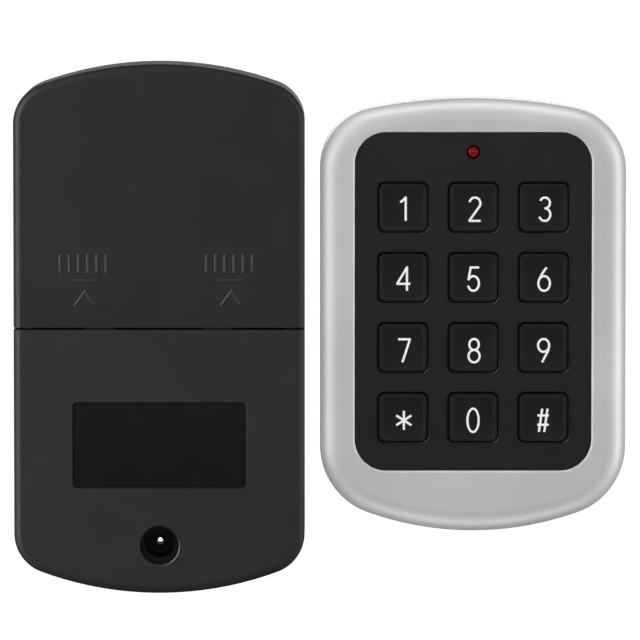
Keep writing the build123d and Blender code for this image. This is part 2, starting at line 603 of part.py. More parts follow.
with BuildPart() as dc_jack_body:
    with BuildSketch(rear_at(board_front)):
        with Locations((0, inlet_rise)):
            Rectangle(jack_size, jack_size)
    extrude(amount=jack_body_depth - board_front)
    with BuildSketch(rear_at(jack_body_depth)):
        with Locations((0, inlet_rise)):
            Circle(jack_size / 2)
    extrude(amount=inlet_well_depth - seat_gap - jack_body_depth)
    with BuildSketch(rear_at(board_front + jack_floor)):
        with Locations((0, inlet_rise)):
            Circle(jack_bore)
    extrude(amount=inlet_well_depth - board_front, mode=Mode.SUBTRACT)
    with BuildSketch(rear_at(board_front)):
        with Locations((0, inlet_rise)):
            Circle(jack_pin_radius + bore_gap)
    extrude(amount=jack_floor, mode=Mode.SUBTRACT)
dc_jack_body.part.label = "dc_jack_body"
export_step(dc_jack_body.part, "parts/dc_jack_body.step")

with BuildPart() as dc_jack_pin:
    with BuildSketch(rear_at(board_front)):
        with Locations((0, inlet_rise)):
            Circle(jack_pin_radius)
    extrude(amount=jack_pin_depth - board_front)
    fillet(dc_jack_pin.faces().sort_by(Axis.Y)[0].edges(), jack_pin_radius / 2)
dc_jack_pin.part.label = "dc_jack_pin"
export_step(dc_jack_pin.part, "parts/dc_jack_pin.step")

with BuildPart() as dc_jack_spring:
    with BuildSketch(rear_at(board_front + jack_floor)):
        with Locations((jack_spring_place + jack_spring_thickness / 2, inlet_rise)):
            Rectangle(jack_spring_thickness, jack_spring_width)
    extrude(amount=jack_spring_depth - board_front - jack_floor)
dc_jack_spring.part.label = "dc_jack_spring"
export_step(dc_jack_spring.part, "parts/dc_jack_spring.step")

# Four-way header whose mouth faces up, towards the cable window
with BuildPart() as cable_socket:
    header_plane = Plane(
        origin=(header_place, -board_front - header_depth / 2, board_arm_top - header_length),
        x_dir=(1, 0, 0),
        z_dir=(0, 0, 1),
    )
    with BuildSketch(header_plane):
        Rectangle(header_width, header_depth)
    extrude(amount=header_length)
    with BuildSketch(header_plane.offset(header_floor)):
        Rectangle(header_width - 2 * header_wall, header_depth - 2 * header_wall)
    extrude(amount=header_length - header_floor, mode=Mode.SUBTRACT)
    with BuildSketch(header_plane):
        with GridLocations(header_pitch, 0, 4, 1):
            Rectangle(header_pin, header_pin)
    extrude(amount=header_length - header_wall)
cable_socket.part.label = "cable_socket"
export_step(cable_socket.part, "parts/cable_socket.step")

with BuildPart() as gearbox:
    gearbox_plane = Plane(origin=(motor_x, -motor_depth, gearbox_bottom), x_dir=(1, 0, 0), z_dir=(0, 0, 1))
    for level in (0, (gearbox_length - gearbox_plate) / 2, gearbox_length - gearbox_plate):
        with BuildSketch(gearbox_plane.offset(level)):
            Rectangle(motor_width, motor_thickness)
        extrude(amount=gearbox_plate)
    with BuildSketch(gearbox_plane):
        with GridLocations(
            motor_width - 4 * gearbox_pillar_radius, motor_thickness - 4 * gearbox_pillar_radius, 2, 2
        ):
            Circle(gearbox_pillar_radius)
        Circle(gearbox_wheel_radius - gearbox_pillar_radius)
    extrude(amount=gearbox_length)
    with BuildSketch(gearbox_plane):
        Circle(shaft_radius + bore_gap)
    extrude(amount=shaft_journal, mode=Mode.SUBTRACT)
gearbox.part.label = "gearbox"
export_step(gearbox.part, "parts/gearbox.step")

with BuildPart() as motor_can:
    can_plane = gearbox_plane.offset(gearbox_length)
    with BuildSketch(can_plane):
        Circle(motor_width / 2)
        Rectangle(motor_width, motor_thickness, mode=Mode.INTERSECT)
    extrude(amount=can_length)
    with BuildSketch(can_plane.offset(can_length)):
        Circle(can_bush_radius)
    extrude(amount=can_bush_length)
motor_can.part.label = "motor_can"
export_step(motor_can.part, "parts/motor_can.step")

# A strap over the gearbox, with an ear each side
with BuildPart() as motor_bracket:
    strap_plane = Plane(
        origin=(motor_x, -motor_depth, bracket_rise - bracket_width / 2), x_dir=(1, 0, 0), z_dir=(0, 0, 1)
    )
    strap_half = motor_width / 2
    strap_back = motor_thickness / 2
    ear_end = strap_half + bracket_thickness + bracket_ear
    ear_level = strap_back - bracket_leg
    with BuildSketch(strap_plane):
        with BuildLine():
            Polyline(
                (-ear_end, ear_level),
                (-strap_half - bracket_thickness, ear_level),
                (-strap_half - bracket_thickness, strap_back + bracket_thickness),
                (strap_half + bracket_thickness, strap_back + bracket_thickness),
                (strap_half + bracket_thickness, ear_level),
                (ear_end, ear_level),
                (ear_end, ear_level - bracket_thickness),
                (strap_half, ear_level - bracket_thickness),
                (strap_half, strap_back),
                (-strap_half, strap_back),
                (-strap_half, ear_level - bracket_thickness),
                (-ear_end, ear_level - bracket_thickness),
                close=True,
            )
        make_face()
    extrude(amount=bracket_width)
    with BuildSketch(rear_at(bracket_seat - bracket_thickness)):
        with Locations(*bracket_screws):
            Circle(small_screw_radius + bore_gap)
    extrude(amount=bracket_thickness, mode=Mode.SUBTRACT)
motor_bracket.part.label = "motor_bracket"
export_step(motor_bracket.part, "parts/motor_bracket.step")

with BuildPart() as output_shaft:
    with BuildSketch(gearbox_plane.offset(shaft_journal - bore_gap)):
        Circle(shaft_radius)
    extrude(amount=bore_gap - shaft_journal)
    with BuildSketch(gearbox_plane):
        Circle(shaft_radius)
        with Locations((0, -shaft_radius)):
            Rectangle(2 * shaft_radius, 2 * shaft_flat, mode=Mode.SUBTRACT)
    extrude(amount=-shaft_length)
output_shaft.part.label = "output_shaft"
export_step(output_shaft.part, "parts/output_shaft.step")

# A tooth points straight at the rack, where a gap waits for it
with BuildPart() as drive_pinion:
    pinion_plane = Plane(origin=(motor_x, -motor_depth, pinion_top), x_dir=(0, 1, 0), z_dir=(0, 0, 1))
    with BuildSketch(pinion_plane):
        add(gear_profile())
        Circle(shaft_radius + bore_gap, mode=Mode.SUBTRACT)
    extrude(amount=-pinion_face)
drive_pinion.part.label = "drive_pinion"
export_step(drive_pinion.part, "parts/drive_pinion.step")

with BuildPart() as lock_bolt:
    bolt_tip = bolt_flush_gap - rear_width / 2
    bolt_length = motor_x + bolt_tail - bolt_tip
    with BuildSketch(rear_at(bolt_back_depth)):
        with Locations((bolt_tip + bolt_length / 2, bolt_rise)):
            Rectangle(bolt_length, bolt_height)
    extrude(amount=rack_root - bolt_back_depth)
    chamfer(lock_bolt.faces().sort_by(Axis.X)[0].edges().filter_by(Axis.Z), bolt_nose)
    # Rack along the bolt's front face, starting one tooth past the pinion
    flank_run = math.tan(math.radians(pressure_angle))
    tip_half = rack_pitch / 4 - tooth_backlash / 4 - tooth_module * flank_run
    root_half = tip_half + (rack_tip - rack_root) * flank_run
    with BuildSketch(Plane.XY.offset(bolt_top - slide_gap / 2)):
        for tooth in range(rack_teeth):
            centre = motor_x + (tooth - 1.5) * rack_pitch
            with BuildLine():
                Polyline(
                    (centre - root_half, -rack_root),
                    (centre - tip_half, -rack_tip),
                    (centre + tip_half, -rack_tip),
                    (centre + root_half, -rack_root),
                    close=True,
                )
            make_face()
    extrude(amount=-rack_strip_width)
lock_bolt.part.label = "lock_bolt"
export_step(lock_bolt.part, "parts/lock_bolt.step")

# A channel over the bolt, with its ears on two pillars
with BuildPart() as bolt_guide:
    guide_low = bolt_rise - bolt_height / 2 - bolt_slot_gap - guide_leg
    guide_high = guide_ear_rise + guide_ear_height / 2
    leg_back = back_plate_thickness + runner_height + seat_gap
    with BuildSketch(rear_at(guide_back)):
        with Locations((guide_x, (guide_low + guide_high) / 2)):
            Rectangle(guide_width, guide_high - guide_low)
        with Locations(*guide_screws):
            Circle(small_screw_radius + bore_gap, mode=Mode.SUBTRACT)
    extrude(amount=guide_thickness)
    with BuildSketch(rear_at(leg_back)):
        for side in (-1, 1):
            with Locations((guide_x, bolt_rise + side * (bolt_height / 2 + bolt_slot_gap + guide_leg / 2))):
                Rectangle(guide_width, guide_leg)
    extrude(amount=guide_back - leg_back)
bolt_guide.part.label = "bolt_guide"
export_step(bolt_guide.part, "parts/bolt_guide.step")

# Lever switch that the bolt's tail presses when it is drawn in
with BuildPart() as bolt_switch:
    switch_left = board_arm_left + seat_gap
    with BuildSketch(rear_at(board_front)):
        with Locations((switch_left + switch_width / 2, bolt_rise)):
            Rectangle(switch_width, switch_height)
    extrude(amount=switch_depth)
    lever_end = motor_x + bolt_tail + slide_gap
    with BuildSketch(rear_at(board_front + switch_depth / 2)):
        with BuildLine():
            Polyline(
                (switch_left, bolt_rise + switch_height / 2),
                (lever_end, bolt_rise - switch_height / 4),
                (lever_end + switch_lever, bolt_rise - switch_height / 4 - switch_lever),
                (switch_left, bolt_rise + switch_height / 2 - 4 * switch_lever),
                close=True,
            )
        make_face()
    extrude(amount=switch_depth / 2 - switch_lever)
bolt_switch.part.label = "bolt_switch"
export_step(bolt_switch.part, "parts/bolt_switch.step")

with BuildPart() as keypad_bezel:
    with BuildSketch(keypad_at(0)):
        add(arched_outline(keypad_shape))
    extrude(amount=keypad_depth)
    fillet(keypad_bezel.faces().sort_by(Axis.Y)[0].edges(), keypad_edge_fillet)
    with BuildSketch(keypad_at(0)):
        add(arched_outline(keypad_shape, keypad_wall))
    extrude(amount=panel_ledge, mode=Mode.SUBTRACT)
    with BuildSketch(keypad_at(panel_ledge)):
        with Locations((0, panel_rise)):
            RectangleRounded(
                panel_width + 2 * seat_gap, panel_height + 2 * seat_gap, panel_corner + seat_gap
            )
    extrude(amount=keypad_front_wall, mode=Mode.SUBTRACT)
    chamfer(keypad_bezel.faces().sort_by(Axis.Y)[0].inner_wires()[0].edges(), keypad_rim_chamfer)
    with BuildSketch(keypad_at(keypad_back_thickness)):
        with Locations(*keypad_boss_places):
            Circle(keypad_boss_radius)
        for place_x, place_z in keypad_boss_places:
            with Locations((place_x + math.copysign(keypad_boss_web / 2, place_x), place_z)):
                Rectangle(keypad_boss_web, keypad_web_thickness)
    extrude(amount=keypad_boss_depth - keypad_back_thickness)
    with BuildSketch(keypad_at(keypad_back_thickness)):
        with Locations(*keypad_boss_places):
            Circle(case_screw_radius + bore_gap)
    extrude(amount=case_screw_length, mode=Mode.SUBTRACT)
keypad_bezel.part.label = "keypad_bezel"
export_step(keypad_bezel.part, "parts/keypad_bezel.step")

with BuildPart() as keypad_panel:
    with BuildSketch(keypad_at(panel_back)):
        with Locations((0, panel_rise)):
            RectangleRounded(
                panel_width + 2 * panel_flange, panel_height + 2 * panel_flange, panel_corner + panel_flange
            )
    extrude(amount=panel_flange_thickness)
    with BuildSketch(keypad_at(panel_ledge)):
        with Locations((0, panel_rise)):
            RectangleRounded(panel_width, panel_height, panel_corner)
    extrude(amount=panel_front - panel_ledge)
    with BuildSketch(keypad_at(keypad_board_front)):
        with Locations(*standoff_places):
            Circle(standoff_radius)
    extrude(amount=panel_back - keypad_board_front)
    with BuildSketch(keypad_at(keypad_board_front)):
        with Locations(*standoff_places):
            Circle(small_screw_radius + bore_gap)
    extrude(amount=small_pilot_depth, mode=Mode.SUBTRACT)
    with BuildSketch(keypad_at(panel_back)):
        with Locations(*key_places):
            Rectangle(key_pocket, key_pocket)
    extrude(amount=panel_flange_thickness, mode=Mode.SUBTRACT)
    with BuildSketch(keypad_at(panel_ledge)):
        with Locations(*key_places):
            RectangleRounded(key_opening, key_opening, key_opening_corner)
    extrude(amount=panel_front - panel_ledge, mode=Mode.SUBTRACT)
    with BuildSketch(keypad_at(panel_back)):
        with Locations((0, light_rise)):
            Circle(light_radius + light_gap)
    extrude(amount=panel_front - panel_back, mode=Mode.SUBTRACT)
keypad_panel.part.label = "keypad_panel"
export_step(keypad_panel.part, "parts/keypad_panel.step")

# Each keycap is open at the back, with a flange that the panel holds and a post on its plunger
for name, place in zip(key_names, key_places):
    with BuildPart() as key:
        with BuildSketch(keypad_at(key_back)):
            with Locations(place):
                Rectangle(key_size + 2 * key_flange_reach, key_size + 2 * key_flange_reach)
        extrude(amount=key_flange_thickness)
        with BuildSketch(keypad_at(key_back + key_flange_thickness)):
            with Locations(place):
                RectangleRounded(key_size, key_size, key_opening_corner - key_gap)
        extrude(amount=key_top - key_back - key_flange_thickness)
        chamfer(key.faces().sort_by(Axis.Y)[0].edges(), key_edge)
        with BuildSketch(keypad_at(key_top)):
            with Locations(place):
                RectangleRounded(key_size - 2 * key_rim, key_size - 2 * key_rim, key_opening_corner / 2)
        extrude(amount=-key_dish, taper=-key_dish_slope, mode=Mode.SUBTRACT)
        with BuildSketch(keypad_at(key_back)):
            with Locations(place):
                Rectangle(key_cavity, key_cavity)
        extrude(amount=key_top - key_top_thickness - key_back, mode=Mode.SUBTRACT)
        with BuildSketch(keypad_at(plunger_front)):
            with Locations(place):
                Circle(key_post_radius)
        extrude(amount=key_top - key_top_thickness - plunger_front)
    key.part.label = f"key_{name}"
    export_step(key.part, f"parts/key_{name}.step")
    with BuildPart() as plunger:
        with BuildSketch(keypad_at(plunger_front - plunger_length)):
            with Locations(place):
                Circle(plunger_radius)
        extrude(amount=plunger_length)
    plunger.part.label = f"plunger_{name}"
    export_step(plunger.part, f"parts/plunger_{name}.step")

with BuildPart() as switch_bodies:
    with BuildSketch(keypad_at(keypad_board_front)):
        with Locations(*key_places):
            Rectangle(tact_size, tact_size)
    extrude(amount=tact_height)
    with BuildSketch(keypad_at(keypad_board_front + tact_floor)):
        with Locations(*key_places):
            Circle(plunger_radius + plunger_gap)
    extrude(amount=tact_height - tact_floor, mode=Mode.SUBTRACT)
switch_bodies.part.label = "switch_bodies"
export_step(switch_bodies.part, "parts/switch_bodies.step")

with BuildPart() as keypad_board:
    with BuildSketch(keypad_at(keypad_board_depth)):
        with Locations((0, keypad_board_rise)):
            RectangleRounded(keypad_board_width, keypad_board_height, keypad_board_corner)
        with Locations(*keypad_boss_places):
            Circle(keypad_boss_radius + slide_gap, mode=Mode.SUBTRACT)
        with Locations(*standoff_places):
            Circle(small_screw_radius + bore_gap, mode=Mode.SUBTRACT)
    extrude(amount=keypad_board_thickness)
keypad_board.part.label = "keypad_board"
export_step(keypad_board.part, "parts/keypad_board.step")

# Domed status light on two legs
with BuildPart() as status_light:
    light_tip = panel_front + light_proud
    light_foot = light_tip - light_body
    with BuildSketch(keypad_at(light_foot)):
        with Locations((0, light_rise)):
            Circle(light_radius)
    extrude(amount=light_body)
    fillet(status_light.faces().sort_by(Axis.Y)[0].edges(), light_radius / 2)
    with BuildSketch(keypad_at(light_foot)):
        with Locations((0, light_rise)):
            Circle(light_radius + light_flange)
    extrude(amount=light_flange)
    with BuildSketch(keypad_at(keypad_board_front)):
        with Locations(*[(side * light_leg_spacing / 2, light_rise) for side in (-1, 1)]):
            Rectangle(light_leg, light_leg)
    extrude(amount=light_foot - keypad_board_front)
status_light.part.label = "status_light"
export_step(status_light.part, "parts/status_light.step")

with BuildPart() as buzzer:
    with BuildSketch(keypad_at(keypad_board_depth)):
        with Locations(buzzer_place):
            Circle(buzzer_radius)
    extrude(amount=-buzzer_height)
    with BuildSketch(keypad_at(keypad_board_depth - buzzer_height)):
        with Locations(buzzer_place):
            Circle(buzzer_port)
    extrude(amount=buzzer_port, mode=Mode.SUBTRACT)
buzzer.part.label = "buzzer"
export_step(buzzer.part, "parts/buzzer.step")

with BuildPart() as keypad_chip:
    with BuildSketch(keypad_at(keypad_board_depth)):
        with Locations(keypad_chip_place):
            Rectangle(processor_width, processor_length)
    extrude(amount=-processor_height)
keypad_chip.part.label = "keypad_chip"
export_step(keypad_chip.part, "parts/keypad_chip.step")

# Four-way header whose mouth faces back, into the cover's window
with BuildPart() as keypad_socket:
    with BuildSketch(keypad_at(keypad_board_depth)):
        with Locations(keypad_header_place):
            Rectangle(header_width, header_depth)
    extrude(amount=-keypad_header_depth)
    with BuildSketch(keypad_at(keypad_board_depth - keypad_header_floor)):
        with Locations(keypad_header_place):
            Rectangle(header_width - 2 * header_wall, header_depth - 2 * header_wall)
    extrude(amount=keypad_header_floor - keypad_header_depth, mode=Mode.SUBTRACT)
    with BuildSketch(keypad_at(keypad_board_depth)):
        with Locations(keypad_header_place):
            with GridLocations(header_pitch, 0, 4, 1):
                Rectangle(header_pin, header_pin)
    extrude(amount=-keypad_header_depth / 2)
keypad_socket.part.label = "keypad_socket"
export_step(keypad_socket.part, "parts/keypad_socket.step")

with BuildPart() as keypad_back:
    with BuildSketch(keypad_at(0)):
        add(arched_outline(keypad_shape, keypad_wall + seat_gap))
    extrude(amount=keypad_back_thickness)
    with BuildSketch(keypad_at(keypad_back_thickness)):
        with Locations(*insert_places):
            Circle(insert_boss_radius)
    extrude(amount=keypad_board_depth - keypad_back_thickness - seat_gap)
    with BuildSketch(keypad_at(0)):
        with Locations(*insert_places):
            Circle(insert_radius + bore_gap)
        with Locations(keypad_header_place):
            Rectangle(header_width + 2 * seat_gap, header_depth + 2 * seat_gap)
    extrude(amount=insert_mouth + insert_length, mode=Mode.SUBTRACT)
    with Locations(Plane(origin=(keypad_x, 0, keypad_rise), x_dir=(-1, 0, 0), z_dir=(0, 1, 0))):
        with Locations(*keypad_boss_places):
            CounterSinkHole(case_screw_radius + bore_gap, case_screw_head_radius + bore_gap)
keypad_back.part.label = "keypad_back"
export_step(keypad_back.part, "parts/keypad_back.step")

with BuildPart() as mount_inserts:
    with BuildSketch(keypad_at(insert_mouth)):
        with Locations(*insert_places):
            Circle(insert_radius)
            Circle(insert_bore, mode=Mode.SUBTRACT)
    extrude(amount=insert_length)
mount_inserts.part.label = "mount_inserts"
export_step(mount_inserts.part, "parts/mount_inserts.step")

# Countersunk screws that hold both back covers
with BuildPart() as case_screws:
    for plane_at, places in ((rear_at, case_screw_places), (keypad_at, keypad_boss_places)):
        with BuildSketch(plane_at(0)):
            with Locations(*places):
                Circle(case_screw_radius)
        extrude(amount=case_screw_length)
        with BuildSketch(plane_at(0)):
            with Locations(*places):
                Circle(case_screw_head_radius)
        extrude(amount=case_screw_head_radius - case_screw_radius, taper=45)
case_screws.part.label = "case_screws"
export_step(case_screws.part, "parts/case_screws.step")

# Pan-head screws on the bracket, the guide and both boards
with BuildPart() as small_screws:
    for plane_at, places, seat in (
        (rear_at, bracket_screws, bracket_seat - bracket_thickness),
        (rear_at, guide_screws, guide_back),
        (rear_at, board_screws, board_back_depth),
        (keypad_at, standoff_places, keypad_board_depth),
    ):
        with BuildSketch(plane_at(seat)):
            with Locations(*places):
                Circle(small_screw_head_radius)
        extrude(amount=-small_screw_head_height)
        with BuildSketch(plane_at(seat)):
            with Locations(*places):
                Circle(small_screw_radius)
        extrude(amount=small_screw_length)
small_screws.part.label = "small_screws"
export_step(small_screws.part, "parts/small_screws.step")
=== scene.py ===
import json
import math

import bmesh
import bpy
from mathutils import Matrix, Vector

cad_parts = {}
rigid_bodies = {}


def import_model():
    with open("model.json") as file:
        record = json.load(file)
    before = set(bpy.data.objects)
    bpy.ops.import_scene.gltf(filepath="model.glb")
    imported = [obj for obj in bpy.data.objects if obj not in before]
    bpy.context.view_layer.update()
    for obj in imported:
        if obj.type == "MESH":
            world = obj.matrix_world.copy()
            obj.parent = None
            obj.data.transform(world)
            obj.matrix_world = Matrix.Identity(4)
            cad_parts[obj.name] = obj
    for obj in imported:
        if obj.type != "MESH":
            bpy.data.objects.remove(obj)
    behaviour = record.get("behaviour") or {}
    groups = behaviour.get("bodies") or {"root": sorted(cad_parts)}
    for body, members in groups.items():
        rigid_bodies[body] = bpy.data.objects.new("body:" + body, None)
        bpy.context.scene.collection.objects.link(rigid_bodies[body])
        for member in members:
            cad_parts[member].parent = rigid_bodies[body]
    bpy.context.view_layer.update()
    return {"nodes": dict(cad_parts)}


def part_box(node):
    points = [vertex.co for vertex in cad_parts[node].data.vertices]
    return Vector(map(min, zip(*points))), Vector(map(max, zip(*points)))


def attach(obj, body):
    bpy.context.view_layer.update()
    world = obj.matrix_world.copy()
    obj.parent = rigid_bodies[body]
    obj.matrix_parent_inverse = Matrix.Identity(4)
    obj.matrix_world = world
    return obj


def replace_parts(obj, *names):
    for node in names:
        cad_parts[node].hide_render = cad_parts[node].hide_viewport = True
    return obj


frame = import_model()
mm = 0.001
print("frame loaded:", len(frame["nodes"]), "nodes")


# Colours are written as sRGB hex and turned to the linear values the shaders want
def linearColour(hexCode):
    channels = [int(hexCode[i:i + 2], 16) / 255 for i in (1, 3, 5)]
    linear = [c / 12.92 if c <= 0.04045 else ((c + 0.055) / 1.055) ** 2.4 for c in channels]
    return (*linear, 1)


# Adds one node, sets its options and sockets, and links its inputs
def addNode(tree, kind, options={}, values={}, links={}):
    node = tree.nodes.new(kind)
    for name, value in options.items():
        setattr(node, name, value)
    for name, value in values.items():
        node.inputs[name].default_value = value
    for name, source in links.items():
        tree.links.new(source, node.inputs[name])
    return node


def addMath(tree, operation, values={}, links={}, clamp=False):
    options = {"operation": operation, "use_clamp": clamp}
    return addNode(tree, "ShaderNodeMath", options, values, links).outputs[0]


def startMaterial(name):
    material = bpy.data.materials.new(name)
    material.use_nodes = True
    material.node_tree.nodes.clear()
    return material, material.node_tree


def finishMaterial(tree, shader):
    addNode(tree, "ShaderNodeOutputMaterial", links={"Surface": shader.outputs[0]})


def objectPoint(tree):
    return addNode(tree, "ShaderNodeTexCoord").outputs["Object"]


# A noise whose features are about sizeMm across
def grainOf(tree, sizeMm, detail=2.0, stretch=None):
    point = objectPoint(tree)
    if stretch:
        stretched = addNode(tree, "ShaderNodeMapping", values={"Scale": stretch}, links={"Vector": point})
        point = stretched.outputs[0]
    return addNode(tree, "ShaderNodeTexNoise", values={"Scale": 1 / (sizeMm * mm), "Detail": detail},
                   links={"Vector": point}).outputs["Fac"]


# The middle of a pattern's values, spread over the wanted range
def rangeOf(tree, source, low, high, fromLow=0.3, fromHigh=0.7):
    return addNode(tree, "ShaderNodeMapRange",
                   values={"From Min": fromLow, "From Max": fromHigh, "To Min": low, "To Max": high},
                   links={"Value": source}).outputs[0]


# Fine relief, over edges that are rounded where edgeMm is given
edgeSamples = 6


def bumpOf(tree, height, distanceMm, strength, edgeMm=0):
    links = {"Height": height}
    if edgeMm:   # moulded and cast edges are never quite sharp
        rounded = addNode(tree, "ShaderNodeBevel", {"samples": edgeSamples}, {"Radius": edgeMm * mm})
        links["Normal"] = rounded.outputs[0]
    return addNode(tree, "ShaderNodeBump", values={"Strength": strength, "Distance": distanceMm * mm},
                   links=links).outputs[0]


# A tint that runs from dark to light between these two values of the pattern
tintBounds = (0.35, 0.65)


def tintOf(tree, source, darkHex, lightHex):
    ramp = addNode(tree, "ShaderNodeValToRGB", links={"Fac": source})
    for element, position, hexCode in zip(ramp.color_ramp.elements, tintBounds, (darkHex, lightHex)):
        element.position = position
        element.color = linearColour(hexCode)
    return ramp.outputs[0]


# Under a given height the surface gets a painted shade, near black, and is made coarse and matt. Sockets
# 0, 6 and 7 of the mix are its factor and its two colours.
def paintedShadeBelow(tree, settings, colour, roughness):
    height = addNode(tree, "ShaderNodeSeparateXYZ", links={"Vector": objectPoint(tree)}).outputs["Z"]
    below = addMath(tree, "LESS_THAN", {1: settings["paintedShadeBelowMm"] * mm}, {0: height})
    paintedShadeColour = linearColour(settings["paintedShadeColour"])
    darkened = addNode(tree, "ShaderNodeMix", {"data_type": "RGBA"}, {7: paintedShadeColour}, {0: below, 6: colour})
    return darkened.outputs[2], addMath(tree, "MAXIMUM", links={0: below, 1: roughness})


# Moulded plastic: a fine even grain from the tool breaks up any reflection
plasticIor = 1.53


def makeMoulded(name, settings):
    material, tree = startMaterial(name)
    grain = grainOf(tree, settings["grainMm"])
    cloud = grainOf(tree, settings["cloudMm"])
    colour = tintOf(tree, cloud, settings["dark"], settings["light"])
    roughness = rangeOf(tree, grain, settings["roughLow"], settings["roughHigh"])
    if "paintedShadeBelowMm" in settings:
        colour, roughness = paintedShadeBelow(tree, settings, colour, roughness)
    relief = bumpOf(tree, grain, settings["bumpMm"], settings["bumpStrength"], settings.get("edgeMm", 0))
    shader = addNode(tree, "ShaderNodeBsdfPrincipled", values={
        "IOR": settings.get("ior", plasticIor),
    }, links={
        "Base Color": colour,
        "Roughness": roughness,
        "Normal": relief,
    })
    finishMaterial(tree, shader)
    return material


# ABS from a spark-eroded tool
mouldedAbsSettings = {"dark": "#262626", "light": "#2a2a2a", "grainMm": 0.22, "cloudMm": 14.0,
                      "roughLow": 0.44, "roughHigh": 0.54, "bumpMm": 0.012, "bumpStrength": 0.4,
                      "edgeMm": 0.12}
mouldedAbs = makeMoulded("Moulded ABS, black spark-eroded", mouldedAbsSettings)

# The battery cover, whose hidden latch tongues are left coarse and matt and coloured near black as painted
# shade, so that the seam stays dark
coverAbs = makeMoulded("Moulded ABS, black battery cover", {
    **mouldedAbsSettings, "dark": "#202020", "light": "#242424",
    "paintedShadeBelowMm": -1.1, "paintedShadeColour": "#050505"})

# The grip marks: the same ABS, where thumbs rub the grain nearly flat. Its paler colour is partly that wear
# and partly a painted highlight on the raised marks
rubbedAbsPaintedHighlight = makeMoulded("Moulded ABS, black rubbed bright", {
    "dark": "#2b2b2b", "light": "#303030", "grainMm": 0.3, "cloudMm": 5.0,
    "roughLow": 0.48, "roughHigh": 0.54, "bumpMm": 0.004, "bumpStrength": 0.3})

# The lip round the inlet, polished in the tool
polishedAbs = makeMoulded("Moulded ABS, black polished lip", {
    **mouldedAbsSettings, "roughLow": 0.28, "roughHigh": 0.34, "bumpMm": 0.003, "edgeMm": 0})

# Polycarbonate moulded in a polished and lightly blasted tool: smoother than the housings
panelSettings = {"dark": "#101010", "light": "#131313", "ior": 1.44, "grainMm": 0.16, "cloudMm": 9.0,
                 "roughLow": 0.4, "roughHigh": 0.48, "bumpMm": 0.005, "bumpStrength": 0.3, "edgeMm": 0.1}
panelPolycarbonate = makeMoulded("Moulded polycarbonate, black satin", panelSettings)

# The lips round the key openings: the panel's plastic, rubbed smoother, so that they catch the light
rubbedPanel = makeMoulded("Moulded polycarbonate, black rubbed bright", {
    **panelSettings, "roughLow": 0.3, "roughHigh": 0.36, "edgeMm": 0})

# The keycaps: the same plastic, a trace warmer and rubbed a little by fingers
keyPolycarbonate = makeMoulded("Moulded polycarbonate keycap, black", {
    "dark": "#0b0a08", "light": "#0e0d0a", "ior": 1.39, "grainMm": 0.2, "cloudMm": 6.0,
    "roughLow": 0.42, "roughHigh": 0.52, "bumpMm": 0.006, "bumpStrength": 0.3})

# Small inner parts moulded in nylon, acetal and epoxy
socketNylon = makeMoulded("Moulded nylon, natural white", {
    "dark": "#cfcabb", "light": "#ddd9cd", "grainMm": 0.4, "cloudMm": 5.0,
    "roughLow": 0.38, "roughHigh": 0.5, "bumpMm": 0.01, "bumpStrength": 0.3})
gearAcetal = makeMoulded("Moulded acetal, off-white", {
    "dark": "#c4c4bf", "light": "#d5d5d0", "grainMm": 0.4, "cloudMm": 6.0,
    "roughLow": 0.32, "roughHigh": 0.42, "bumpMm": 0.008, "bumpStrength": 0.3})
componentEpoxy = makeMoulded("Moulded epoxy, black", {
    "dark": "#1c1c1d", "light": "#232324", "grainMm": 0.1, "cloudMm": 3.0,
    "roughLow": 0.5, "roughHigh": 0.62, "bumpMm": 0.006, "bumpStrength": 0.4})

# Zinc alloy sprayed with a fine silver base coat: flakes glint one by one under a satin lacquer
silverSettings = {"dark": "#d4d4d4", "light": "#dcdcdc", "flakeMm": 0.12, "flakeFrom": 0.1, "flakeTo": 0.6,
                  "cloudMm": 22.0, "metallic": 0.4, "coat": 0.25, "coatRough": 0.22, "roughLow": 0.44,
                  "roughHigh": 0.56, "bumpMm": 0.004, "bumpStrength": 0.3, "edgeMm": 0.15}


def makeSilverPaint(settings):
    material, tree = startMaterial("Sprayed silver paint, satin lacquer")
    flake = addNode(tree, "ShaderNodeTexVoronoi", values={"Scale": 1 / (settings["flakeMm"] * mm)},
                    links={"Vector": objectPoint(tree)}).outputs["Distance"]
    cloud = grainOf(tree, settings["cloudMm"])
    shader = addNode(tree, "ShaderNodeBsdfPrincipled", values={
        "Metallic": settings["metallic"], "Coat Weight": settings["coat"],
        "Coat Roughness": settings["coatRough"],
    }, links={
        "Base Color": tintOf(tree, cloud, settings["dark"], settings["light"]),
        "Roughness": rangeOf(tree, flake, settings["roughLow"], settings["roughHigh"],
                             settings["flakeFrom"], settings["flakeTo"]),
        "Normal": bumpOf(tree, flake, settings["bumpMm"], settings["bumpStrength"], settings["edgeMm"]),
    })
    finishMaterial(tree, shader)
    return material


silverPaint = makeSilverPaint(silverSettings)

# Plated and turned metals: colour, and roughness streaked along the way they were worked
metalSettings = {"detail": 3.0, "bumpMm": 0.01, "bumpStrength": 0.15}


def makeMetal(name, darkHex, lightHex, streakMm, roughLow, roughHigh, stretch=None, anisotropy=0.0):
    material, tree = startMaterial(name)
    streak = grainOf(tree, streakMm, metalSettings["detail"], stretch)
    shader = addNode(tree, "ShaderNodeBsdfPrincipled", values={
        "Metallic": 1.0, "Anisotropic": anisotropy,
    }, links={
        "Base Color": tintOf(tree, streak, darkHex, lightHex),
        "Roughness": rangeOf(tree, streak, roughLow, roughHigh),
        "Normal": bumpOf(tree, streak, metalSettings["bumpMm"], metalSettings["bumpStrength"]),
    })
    finishMaterial(tree, shader)
    return material


